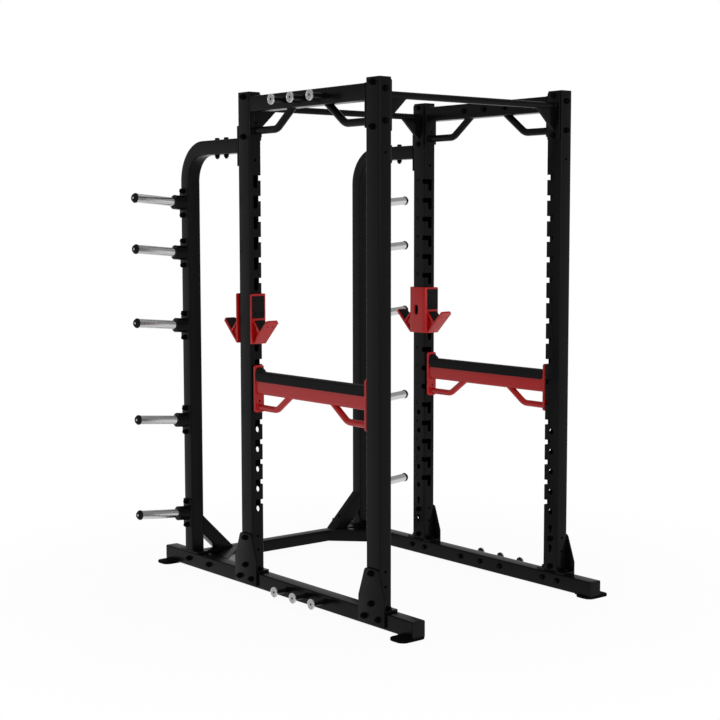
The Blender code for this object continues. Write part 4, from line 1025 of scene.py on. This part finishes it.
def collar(height):
    """Return the collar that holds a horn's sleeve in its bore."""
    bore, rim, radius = SLEEVE_RADIUS + COLLAR_CLEARANCE, COLLAR_LENGTH, COLLAR_RADIUS
    return turned([
        (bore, COLLAR_BORE_START), (0, COLLAR_BORE_START), (0, -COLLAR_ROOT),
        (radius, -COLLAR_ROOT), (radius, rim - COLLAR_CHAMFER), (radius - COLLAR_CHAMFER, rim),
        (bore + BORE_CHAMFER, rim), (bore, rim - BORE_CHAMFER), (bore, COLLAR_BORE_START),
    ], horn_matrix(height))


def add_storage_posts():
    """Set up the bent storage posts with their horn holders, and their foot plates."""
    post = swept_square(storage_path(0), STORAGE_WIDTH, TUBE_CORNER)
    hollow = swept_square(storage_path(PAST), STORAGE_WIDTH - 2 * TUBE_WALL, INNER_CORNER[0])
    span_x, span_y = around(RAIL_X, STORAGE_WIDTH), around(STORAGE_Y, STORAGE_WIDTH)
    steel = [cut(post, hollow), weld_round(span_x, span_y, BASE_TOP, "z")]
    down = -Z * math.cos(HORN_TILT)
    bolts = []
    for height in HORN_HEIGHTS:
        holder_z = around(height, HORN_PLATE_HEIGHT)
        ring = weld_ring((HORN_FACE_X, STORAGE_Y, height), down, Y, COLLAR_RADIUS, COLLAR_BEAD)
        steel += [plate(span_y, holder_z, (RAIL_OUTER_X, HORN_FACE_X), "x"), collar(height), ring]
        bolts += bolted(NUT, HORN_FACE_X, STORAGE_Y, around(height, HORN_BOLT_PITCH), X)
    bottom, top = around(STORAGE_ARM_Z, STORAGE_WIDTH)
    for y in ARM_BOLTS_Y:
        bolts += bolted(HEAD, RAIL_X, y, top, Z) + bolted(NUT, RAIL_X, y, bottom, -Z)
    on_both_sides("storage_post", steelwork(steel, bolts))
    plate_y = around(STORAGE_Y, STORAGE_PLATE_LENGTH)
    foot_bolts = around(STORAGE_Y, (STORAGE_PLATE_LENGTH + STORAGE_WIDTH) / 2)
    foot = plate(span_x, plate_y, (POST_FOOT_Z, BASE_TOP), "z")
    bolts = bolted(HEAD, RAIL_X, foot_bolts, BASE_TOP, Z)
    on_both_sides("storage_foot", steelwork([foot], bolts))


def add_storage_brackets():
    """Set up the plates on the rear uprights, with the stubs inside the storage arms."""
    start = REAR_Y + UPRIGHT_DEPTH / 2 + GAP
    end = start + BRACKET_THICKNESS
    stub = square_tube(around(RAIL_X, STUB_WIDTH), around(STORAGE_ARM_Z, STUB_WIDTH),
                       (end - WELD, STUB_END), "y", STUB_WALL, NARROW_CORNER, STUB_HOLLOW_CORNER)
    steel = [plate(UPRIGHT_SPAN, BRACKET_SPAN_Z, (start, end), "y", NARROW_CORNER), stub]
    bolts = bolted(HEAD, UPRIGHT_X, end, BRACKET_BOLT_HEIGHTS, Y)
    on_both_sides("storage_bracket", steelwork(steel, bolts))


def add_horns():
    """Set up the chromed sleeves with their plastic end caps and screws."""
    screw = socket_screw(*HORN_SCREW)
    start, edge = COLLAR_BORE_START + GAP, HORN_CAP_EDGE
    sleeve_profile = [(0, SLEEVE_END), (SLEEVE_RADIUS, SLEEVE_END), (SLEEVE_RADIUS, start),
                      (0, start)]
    cap_profile = [(radius, HORN_CAP_END - depth) for radius, depth in HORN_CAP_FACE]
    cap_profile += [(HORN_CAP_RADIUS, SLEEVE_END + edge), (HORN_CAP_RADIUS - edge, SLEEVE_END),
                    (0, SLEEVE_END)]
    for number, height in enumerate(HORN_HEIGHTS, start=1):
        matrix = horn_matrix(height)
        sleeve, plug = turned(sleeve_profile, matrix), turned(cap_profile, matrix)
        centre = placed(screw, matrix @ Matrix.Translation(Z * (HORN_CAP_END - HORN_CAP_DISH)))
        on_both_sides(f"plate_horn_{number}", coated([sleeve], CHROME))
        on_both_sides(f"plate_horn_cap_{number}", coated([plug], PLASTIC) + coated([centre], ZINC),
                      own_node=False)


def add_cross_member():
    """Set up the tube between the rails' rear ends, its struts and their welds."""
    end_x = RAIL_INNER_X - GAP
    span_z = (CROSS_BOTTOM, RAIL_TOP)
    steel = [square_tube((CROSS_FRONT, CROSS_REAR), span_z, (-end_x, end_x), "x")]
    width = (STRUT_OUTER_SUM - STRUT_INNER_SUM) / math.sqrt(2)
    foot = (end_x, (STRUT_OUTER_SUM + STRUT_INNER_SUM) / 2 - end_x, 0)
    slant = Vector((-1, 1, 0)).normalized()
    strut = square_tube(around(0, width), span_z, STRUT_RAW, "y")
    strut.transform(frame_at(foot, Vector((-slant.y, slant.x, 0)), slant, Z))
    room_y = (STRUT_ROOM_FRONT, CROSS_FRONT + STRUT_BITE)
    strut = combined(strut, box((ROOM_INNER_X, end_x), room_y, STRUT_ROOM_Z), "INTERSECT")
    steel += [strut, mirrored(strut, "x")]
    # The struts' upright edges are welded to the front of the cross member
    low, high = shrunk(span_z, STRUT_WELD_MARGIN)
    for sign in (-1, 1):
        for total in (STRUT_INNER_SUM, STRUT_OUTER_SUM):
            meet = (sign * (total - CROSS_FRONT), CROSS_FRONT)
            steel.append(rod((*meet, low), (*meet, high), BEAD_RADIUS, BEAD_SIDES))
    assemble("rear_cross_member.fine", coated(steel), "frame", ["rear_cross_member"])


def add_braces():
    """Set up the square tubes that prop the storage posts at 45 degrees."""
    width = (BRACE_UPPER_Z - BRACE_LOWER_Z) / math.sqrt(2)
    tube = square_tube(around(STORAGE_Y, BRACE_WIDTH), around(0, width), BRACE_RAW, "x")
    start_x = RAIL_INNER_X - ((BRACE_UPPER_Z + BRACE_LOWER_Z) / 2 - POST_FOOT_Z)
    slant = Matrix.Rotation(-math.pi / 4, 4, "Y")
    tube.transform(Matrix.Translation((start_x, 0, POST_FOOT_Z)) @ slant)
    room = box((ROOM_INNER_X, RAIL_INNER_X - GAP), BRACE_ROOM_Y, (POST_FOOT_Z, BRACE_ROOM_TOP))
    bolt_x = RAIL_INNER_X - (BRACE_UPPER_Z - BRACE_BOLT_Z)
    bolts = bolted(SMALL_HEAD, bolt_x, STORAGE_Y, BRACE_BOLT_Z, Vector((-1, 0, 1)).normalized())
    on_both_sides("storage_brace", steelwork([combined(tube, room, "INTERSECT")], bolts))


def grip(start_y, towards, height, straight, reach, meet_z, radius, bend):
    """Return a handle that leaves a plate and bends up into a tube, and its weld ring."""
    rise = (meet_z - height) / (reach - straight)
    over = WELD + radius * math.cos(math.atan(rise))
    corners = [
        (start_y - towards * HANDLE_ROOT, height, 0),
        (start_y + towards * straight, height, bend),
        (start_y + towards * (reach + over / rise), meet_z + over, 0),
    ]
    path = [(UPRIGHT_X, y, z) for y, z in rounded(corners, HANDLE_STEPS, ring=False)]
    ring = weld_ring((UPRIGHT_X, start_y, height), X, Z, radius)
    return [round_bar(path, radius, HANDLE_ROUNDNESS), ring]


def add_top_beams():
    """Set up the top beams with end plates, grab handles and the bolt heads of their pegs."""
    rear, front = BAY_REAR - GAP, BAY_FRONT + GAP
    rear_plate, front_plate = rear - BEAM_PLATE_THICKNESS, front + BEAM_PLATE_THICKNESS
    span_z = (BEAM_BOTTOM, BEAM_TOP)
    steel = [square_tube(UPRIGHT_SPAN, span_z, (front_plate, rear_plate), "y")]
    for start, end, towards in ((rear_plate, rear, -1), (front_plate, front, 1)):
        steel.append(plate(UPRIGHT_SPAN, (BEAM_PLATE_BOTTOM, BEAM_TOP), (start, end), "y",
                           NARROW_CORNER, holes=[circle(*BEAM_HOLE)]))
        steel += grip(start, towards, *TOP_HANDLE)
        steel.append(weld_round(UPRIGHT_SPAN, span_z, start, "y"))
    _, _, peg_z, pegs_y = PEGS[0]
    bolts = bolted(HEAD, INNER_X, pegs_y, peg_z, -X)
    on_both_sides("top_beam", steelwork(steel, bolts))


def add_pull_up_bar(name, middle_y):
    """Set up a pull-up bar with its end plates, gussets and bolts."""
    outer_x = INNER_X - GAP
    inner_x = outer_x - BAR_PLATE_THICKNESS
    root = inner_x + WELD
    bar = rod((-root, middle_y, BAR_Z), (root, middle_y, BAR_Z), BAR_RADIUS)
    triangle = [(root, BAR_GUSSET_LOW_Z), (root, BAR_Z), (BAR_GUSSET_X, BAR_Z),
                (BAR_GUSSET_X, BAR_Z - BAR_RADIUS)]
    end = [
        plate(around(middle_y, BAR_PLATE_WIDTH), BAR_PLATE_SPAN_Z, (inner_x, outer_x), "x"),
        slab([triangle], around(middle_y, BAR_GUSSET_THICKNESS), "y", *RIM),
        weld_ring((inner_x, middle_y, BAR_Z), Y, Z, BAR_RADIUS),
    ]
    bolts = bolted(HEAD, inner_x, middle_y, BAR_BOLT_HEIGHTS, -X)
    steel = [bar] + end + [mirrored(mesh, "x") for mesh in end]
    bolts += [mirrored(mesh, "x") for mesh in bolts]
    assemble(f"{name}.fine", steelwork(steel, bolts), "frame", [name])


def add_pegs():
    """Set up the band pegs: a black bar with a wide chromed head and its screw."""
    for name, reach, height, places in PEGS:
        face = reach - PEG_DISH
        bar_end = reach - PEG_HEAD_THICKNESS + PEG_SINK
        disk_span = (face - PEG_SINK, face + PEG_DISK_RISE)
        parts = [
            (turned([(radius, reach - depth) for radius, depth in PEG_HEAD]), CHROME),
            (disc(PEG_DISK_RADIUS, *disk_span, PEG_DISK_EDGE, ROUND_SIDES), BRUSHED),
            (disc(PEG_RADIUS, 0.0, bar_end, PEG_BAR_EDGE, STUD_SIDES), BLACK),
            (disc(*PEG_FLANGE), BLACK),
            (placed(socket_screw(*PEG_SCREW), Matrix.Translation(Z * face)), HARDWARE),
        ]
        for number, y in enumerate(places, start=1):
            matrix = pointing((OUTER_X + GAP, y, height), X)
            peg = [(placed(mesh, matrix), material) for mesh, material in parts]
            on_both_sides(f"{name}_{number}", peg)


def hook_lines():
    """Return the lines of the front hook's lip and seat, of steel and liner, in side view."""
    lip = ((CUP_FRONT_Y, HOOK_FOOT_Z), HOOK_TIP)
    seat = ((CUP_FRONT_Y, SEAT_HIGH_Z), SEAT_LOW)
    liner = GAP + LINER_THICKNESS
    return {
        "lip_outer": offset_line(*lip, 0),
        "lip_inner": offset_line(*lip, -HOOK_STEEL),
        "lip_liner": offset_line(*lip, -HOOK_STEEL - GAP),
        "lip_face": offset_line(*lip, -HOOK_STEEL - liner),
        "seat_under": offset_line(*seat, SEAT_STEEL),
        "seat_top": offset_line(*seat, 0),
        "seat_liner": offset_line(*seat, -GAP),
        "seat_face": offset_line(*seat, -liner),
    }


def lip_matrix():
    """Return the frame of the lip's outer face: x, up the lip, and out of it."""
    foot, tip = (Vector((0, *point)) for point in hook_lines()["lip_outer"])
    along = (tip - foot).normalized()
    return frame_at(tip, X, along, X.cross(along))


def lip_plate(lines, root, span_x):
    """Return the lip's plate, square at its tip, with its two free corners cut off."""
    outer, inner = lines["lip_outer"], lines["lip_inner"]
    outline = [at_y(outer, root), outer[1], inner[1], at_y(inner, root)]
    size = LIP_CHAMFER + PAST
    corners = []
    for edge, towards in zip(span_x, (1, -1)):
        before = edge - towards * PAST
        triangle = [(before, PAST), (edge + towards * size, PAST), (before, -size)]
        corner = slab([triangle], (-2 * HOOK_STEEL, 2 * HOOK_STEEL), "z")
        corner.transform(lip_matrix())
        corners.append(corner)
    return cut(slab([outline], span_x, "x", *RIM), *corners)


def hook(span_x):
    """Return the steel of the front hook: a sloping lip, a seat and two ribs under it."""
    lines = hook_lines()
    root = CUP_FRONT_Y + WELD
    bottom = crossing(lines["lip_inner"], lines["seat_top"])
    into_lip = (lines["lip_outer"][0] - lines["lip_inner"][0]) * SEAT_BITE
    below = crossing(lines["lip_inner"], lines["seat_under"]) + into_lip
    under = at_y(lines["seat_under"], root)
    seat = [at_y(lines["seat_top"], root), bottom + into_lip, below, under]
    rib = [at_y(lines["lip_inner"], root) + into_lip, under + Vector((0, WELD)), below]
    low, high = shrunk(span_x, RIB_INSET)
    return [
        lip_plate(lines, root, span_x), slab([seat], span_x, "x", SEAT_RIM),
        slab([rib], (low, low + HOOK_RIB), "x"), slab([rib], (high - HOOK_RIB, high), "x"),
    ]


def hook_liner(span_x):
    """Return the plastic V that lines the front hook."""
    lines = hook_lines()
    seat, face = lines["seat_liner"], lines["seat_face"]
    lip, lip_face = lines["lip_liner"], lines["lip_face"]
    root = CUP_FRONT_Y - GAP
    back, face_back = LINER_SETBACK
    outline = rounded([
        (*at_y(seat, root), 0), (*crossing(seat, lip), 0), (*lip[1].lerp(lip[0], back), 0),
        (*lip_face[1].lerp(lip_face[0], face_back), LINER_EDGE),
        (*crossing(face, lip_face), LINER_VALLEY), (*at_y(face, root), LINER_EDGE),
    ], LINER_STEPS)
    return slab([outline], shrunk(span_x, LINER_INSET), "x", *RIM)


def hook_screws(span_x):
    """Return the two screws on the outer face of a hook's lip."""
    low, high = span_x
    screw, face = socket_screw(*LIP_SCREW), lip_matrix()
    places = [(low + share * (high - low), -LIP_SCREW_BACK, 0) for share in LIP_SCREW_SHARES]
    return [placed(screw, face @ Matrix.Translation(place)) for place in places]


def channel():
    """Return the J-cup's bent channel with rounded rims, trimmed corners and its window."""
    inside = CUP_BEND - CUP_STEEL
    web = CUP_INNER_X + CUP_STEEL
    front, rear = shrunk((CUP_FRONT_Y, CUP_REAR_Y), CUP_STEEL)
    outline = rounded([
        (CUP_OUTER_X, CUP_FRONT_Y, 0), (CUP_INNER_X, CUP_FRONT_Y, CUP_BEND),
        (CUP_INNER_X, CUP_REAR_Y, CUP_BEND), (CUP_OUTER_X, CUP_REAR_Y, 0),
        (CUP_OUTER_X, rear, 0), (web, rear, inside), (web, front, inside), (CUP_OUTER_X, front, 0),
    ], CUP_BEND_STEPS)
    mesh = slab([outline], CUP_SPAN_Z, "z", CUP_RIM)
    aside, above = CUP_TRIM
    left, right = CUP_INNER_X - CUP_PAST, CUP_OUTER_X + aside
    low, high = CUP_SPAN_Z[0] - CUP_PAST, CUP_SPAN_Z[1] + above
    side_view = rounded([
        (left, low, 0), (right, low, 0), (right, high, CUP_CORNER + aside), (left, high, 0),
    ], CUP_CORNER_STEPS)
    trim = slab([side_view], shrunk((CUP_FRONT_Y, CUP_REAR_Y), -CUP_PAST), "y")
    window = rectangle(CUP_HOLE_Y, CUP_HOLE_Z, *CUP_HOLE_CORNER)
    through = (left, CUP_INNER_X + 2 * CUP_PAST)
    return cut(combined(mesh, trim, "INTERSECT"), slab([window], through, "x"))


def seat_height(slot):
    """Return the height of a stud's axis when it rests in a slot, counted from 0."""
    return SLOT_HEIGHTS[slot] - DROP_DEPTH + STUD_RADIUS + SEAT_CLEARANCE


def studs(slot, start_y, end_y):
    """Return the two studs that sit in a slot and in the next one above it."""
    heights = [seat_height(slot), seat_height(slot + 1)]
    return [rod((UPRIGHT_X, start_y, z), (UPRIGHT_X, end_y, z), STUD_RADIUS, STUD_SIDES)
            for z in heights]


def behind(mesh):
    """Return the mirror image of a J-cup's piece, on the rear of its upright."""
    return mirrored(mesh, "y", REAR_Y)


def cup_parts(front_span, rear_span):
    """Return a J-cup's steel, wear strips, screws and studs, each with its material."""
    steel = [channel()] + hook(front_span) + [behind(piece) for piece in hook(rear_span)]
    wear = plate(WEAR_SPAN_X, (CUP_FRONT_Y + CUP_STEEL - WELD, BAY_REAR - WEAR_MARGIN),
                 shrunk(CUP_SPAN_Z, WEAR_END), "z", SQUARE, WEAR_RIM)
    screws = hook_screws(front_span) + [behind(screw) for screw in hook_screws(rear_span)]
    pins = studs(CUP_SLOT, CUP_FRONT_Y + STUD_ROOT, BAY_REAR + STUD_REACH)
    return (coated(steel, RED) + coated([wear, behind(wear)], PLASTIC)
            + coated(screws, HARDWARE) + coated(pins, ZINC))


def cup_pad():
    """Return the plastic pad on a J-cup's front flange, with its four screws."""
    start = CUP_FRONT_Y - GAP
    face = start - PAD_THICKNESS
    pad = plate(PAD_SPAN_X, PAD_SPAN_Z, (face, start), "y", PAD_CORNER, PAD_RIM)
    inset_x, inset_z = PAD_SCREW_INSET
    screws = bolted([socket_screw(*PAD_SCREW)], shrunk(PAD_SPAN_X, inset_x), face,
                    shrunk(PAD_SPAN_Z, inset_z), -Y)
    return coated([pad], PLASTIC) + coated(screws, HARDWARE)


def add_cups():
    """Set up the two J-cups. The left one is the right one turned about its upright."""
    free_span = (CUP_OUTER_X - HOOK_WIDTH, CUP_OUTER_X)
    web_span = (WEB_HOOK_X, WEB_HOOK_X + HOOK_WIDTH)
    pad = cup_pad()
    rear_pad = [(behind(mesh), material) for mesh, material in pad]
    for end, front, rear in (("right", free_span, web_span), ("left", web_span, free_span)):
        for name, parts, slot in (
            ("jcup", cup_parts(front, rear), "red_coat"),
            ("jcup_pad_front", pad, "black_plastic"),
            ("jcup_pad_rear", rear_pad, "black_plastic"),
            ("jcup_liner_front", coated([hook_liner(front)], PLASTIC), "black_plastic"),
            ("jcup_liner_rear", coated([behind(hook_liner(rear))], PLASTIC), "black_plastic"),
        ):
            if end == "left":
                parts = other_side(parts)
            assemble(f"{name}_{end}.fine", parts, f"jcup_{end}_unit", [f"{name}_{end}"])


def add_safety_arms():
    """Set up the safety arms with their handles, studs and plastic saddles."""
    span_x, span_z = around(UPRIGHT_X, ARM_TUBE_WIDTH), (ARM_TUBE_BOTTOM, ARM_TUBE_TOP)
    steel = [square_tube(span_x, span_z, (ARM_INNER_FRONT, ARM_INNER_REAR), "y", ARM_TUBE_WALL,
                         *ARM_TUBE_CORNERS)]
    plate_x, plate_z = around(UPRIGHT_X, ARM_PLATE_WIDTH), (ARM_PLATE_BOTTOM, ARM_PLATE_TOP)
    shade_spacer_x = shrunk(plate_x, ARM_SHADE_SPACER_MARGIN)
    shade_spacer_z = (ARM_SHADE_SPACER_BOTTOM, ARM_PLATE_TOP - ARM_SHADE_SPACER_MARGIN)
    shade_spacers, pins = [], []
    for start, end, towards in ((ARM_INNER_REAR, ARM_REAR, -1), (ARM_INNER_FRONT, ARM_FRONT, 1)):
        steel.append(plate(plate_x, plate_z, (start, end), "y", ARM_PLATE_CORNER, CAP_RIM,
                           [circle(*ARM_HOLE)]))
        steel += grip(start, towards, *ARM_HANDLE)
        steel.append(weld_round(span_x, span_z, start, "y", ARM_TUBE_CORNER))
        face = end - towards * ARM_PLATE_SPACE
        # A plastic spacer fills the gap behind each end plate, a dark sheet that also serves as
        # painted shade of that gap
        shade_spacers.append(plate(shade_spacer_x, shade_spacer_z, (end, face + towards * WEAR_MARGIN), "y",
                             ARM_SHADE_SPACER_CORNER, WEAR_RIM))
        pins += studs(ARM_SLOT, end + towards * STUD_ROOT, face - towards * STUD_REACH)
    bodies = ("safety_arm_left_unit", "safety_arm_right_unit")
    parts = coated(steel, RED) + coated(shade_spacers, PLASTIC) + coated(pins, ZINC)
    on_both_sides("safety_arm", parts, bodies=bodies)
    on_both_sides("safety_arm_liner", coated([saddle()], PLASTIC), bodies=bodies)


def saddle():
    """Return the plastic saddle over a safety arm's tube, with its raised stop at the rear."""
    start, end = ARM_INNER_FRONT + GAP, ARM_INNER_REAR - GAP
    wide = around(UPRIGHT_X, ARM_LINER_WIDTH)
    left, right = wide
    inner_left, inner_right = around(UPRIGHT_X, ARM_TUBE_WIDTH + 2 * GAP)
    low, top, crown = ARM_LINER_BOTTOM, ARM_LINER_TOP, ARM_TUBE_TOP + GAP
    edge, (inner, outer) = ARM_LINER_EDGE, ARM_LINER_RADII
    section = rounded([
        (left, low, edge), (inner_left, low, edge), (inner_left, crown, inner),
        (inner_right, crown, inner), (inner_right, low, edge), (right, low, edge),
        (right, top, outer), (left, top, outer),
    ], ARM_LINER_STEPS)
    root, peak, stop_end = top - ARM_STOP_ROOT, ARM_STOP_TOP, end - ARM_STOP_LENGTH
    side_view = rounded([
        (end, root, 0), (end, peak, ARM_STOP_EDGE), (end - ARM_STOP_LEVEL, peak, ARM_STOP_LEVEL),
        (stop_end, top - 2 * WELD, 0), (stop_end, root, 0),
    ], ARM_LINER_STEPS)
    arch_left, arch_right = around(UPRIGHT_X, ARM_STOP_WIDTH)
    arch = rounded([
        (arch_left, root - PAST, 0), (arch_right, root - PAST, 0),
        (arch_right, peak, ARM_STOP_ARCH), (arch_left, peak, ARM_STOP_ARCH),
    ], ARM_STOP_ARCH_STEPS)
    stop = combined(slab([side_view], wide, "x"), slab([arch], (stop_end - PAST, end + PAST), "y"),
                    "INTERSECT")
    liner = combined(slab([section], (start, end), "y"), stop, "UNION")
    past, size = ARM_LINER_PAST, ARM_LINER_CHAMFER + ARM_LINER_PAST
    cutters = []
    for y, towards in ((start, 1), (end, -1)):
        before = y - towards * past
        triangle = [(before, low - past), (y + towards * size, low - past), (before, low + size)]
        cutters.append(slab([triangle], shrunk(wide, -past), "x"))
    return cut(liner, *cutters)


def add_camera():
    """Look at the rack from its front left corner, as the photograph does."""
    data = bpy.data.cameras.new("camera")
    data.lens = CAMERA_LENS
    data.sensor_width = SENSOR
    data.sensor_fit = "HORIZONTAL"
    camera = linked("camera", data)
    yaw, pitch, roll = (math.radians(angle) for angle in (CAMERA_YAW, CAMERA_PITCH, CAMERA_ROLL))
    level = math.cos(pitch)
    forward = Vector((math.sin(yaw) * level, math.cos(yaw) * level, -math.sin(pitch)))
    side = Vector((math.cos(yaw), -math.sin(yaw), 0.0))
    above = side.cross(forward)
    right = side * math.cos(roll) + above * math.sin(roll)
    up = above * math.cos(roll) - side * math.sin(roll)
    camera.matrix_world = frame_at(CAMERA_PLACE, right, up, -forward)
    bpy.context.scene.camera = camera


def seen_share(tree):
    """Return 1 for the rays that show the background: camera, glossy and transmission."""
    path = node_of(tree, "LightPath")
    share = path["Is Camera Ray"]
    for name in ("Is Glossy Ray", "Is Transmission Ray"):
        share = maths(tree, "MAXIMUM", share, path[name])
    return share


def add_floor():
    """Add a white floor that keeps a faint shadow near the rack."""
    bpy.ops.mesh.primitive_plane_add(size=FLOOR_SIZE)
    floor = bpy.context.object
    floor.name = "floor"
    material = bpy.data.materials.new("floor_white")
    material.use_nodes = True
    tree = material.node_tree
    tree.nodes.clear()
    place = node_of(tree, "TexCoord")["Object"]
    away = node_of(tree, "VectorMath", {0: place}, operation="LENGTH")["Value"]
    lit = maths(tree, "MAXIMUM", seen_share(tree), FLOOR_LIT)
    share = maths(tree, "MULTIPLY", lit, mapped(tree, away, FLOOR_FADE))
    shade = node_of(tree, "BsdfDiffuse", {"Color": (*grey(FLOOR_GREY), 1)})[0]
    glow = node_of(tree, "Emission", {"Color": (1, 1, 1, 1), "Strength": 1.0})[0]
    mix = node_of(tree, "MixShader", {0: share, 1: shade, 2: glow})[0]
    node_of(tree, "OutputMaterial", {"Surface": mix})
    floor.data.materials.append(material)


def add_sky():
    """Surround the rack with a white sky."""
    world = bpy.data.worlds.new("studio")
    bpy.context.scene.world = world
    world.use_nodes = True
    tree = world.node_tree
    tree.nodes.clear()
    direction = node_of(tree, "TexCoord")["Generated"]
    height = node_of(tree, "SeparateXYZ", {0: direction})["Z"]
    mirror_level = mapped(tree, height, CEILING, interpolation_type="SMOOTHSTEP")
    camera_ray = node_of(tree, "LightPath")["Is Camera Ray"]
    level = maths(tree, "MAXIMUM", mirror_level, camera_ray)
    seen = node_of(tree, "Background", {"Color": (1, 1, 1, 1), "Strength": level})[0]
    fill = node_of(tree, "Background", {"Color": (1, 1, 1, 1), "Strength": SKY_LEVEL})[0]
    mix = node_of(tree, "MixShader", {0: seen_share(tree), 1: fill, 2: seen})[0]
    node_of(tree, "OutputWorld", {"Surface": mix})


def add_lamp(name, place, target, size, radiance):
    """Add a soft square lamp that faces a point, as bright as a surface of that radiance."""
    data = bpy.data.lights.new(name, "AREA")
    data.size = size
    data.energy = radiance * math.pi * size * size
    lamp = linked(name, data)
    lamp.location = place
    aim = Vector(target) - Vector(place)
    lamp.rotation_euler = aim.to_track_quat("-Z", "Y").to_euler()


for post_name, post_y, post_side, post_bolts in (
    ("upright_rear", REAR_Y, -1, BEAM_BOLT_HEIGHTS[:1]),
    ("upright_front", FRONT_Y, 1, BEAM_BOLT_HEIGHTS),
):
    add_upright(post_name, post_y, post_side, post_bolts)
    add_numbers(post_name, post_y + NUMBER_ASIDE)
add_base_rails()
add_gusset_plates("gusset_plate_rear", REAR_Y)
add_gusset_plates("gusset_plate_front", FRONT_Y)
add_storage_posts()
add_storage_brackets()
add_horns()
add_cross_member()
add_braces()
add_top_beams()
add_pull_up_bar("pull_up_bar_rear", REAR_Y)
add_pull_up_bar("pull_up_bar_front", FRONT_Y)
add_pegs()
add_cups()
add_safety_arms()

add_camera()
add_floor()
add_sky()
for lamp in LAMPS:
    add_lamp(*lamp)

bpy.context.scene.view_settings.view_transform = "Standard"
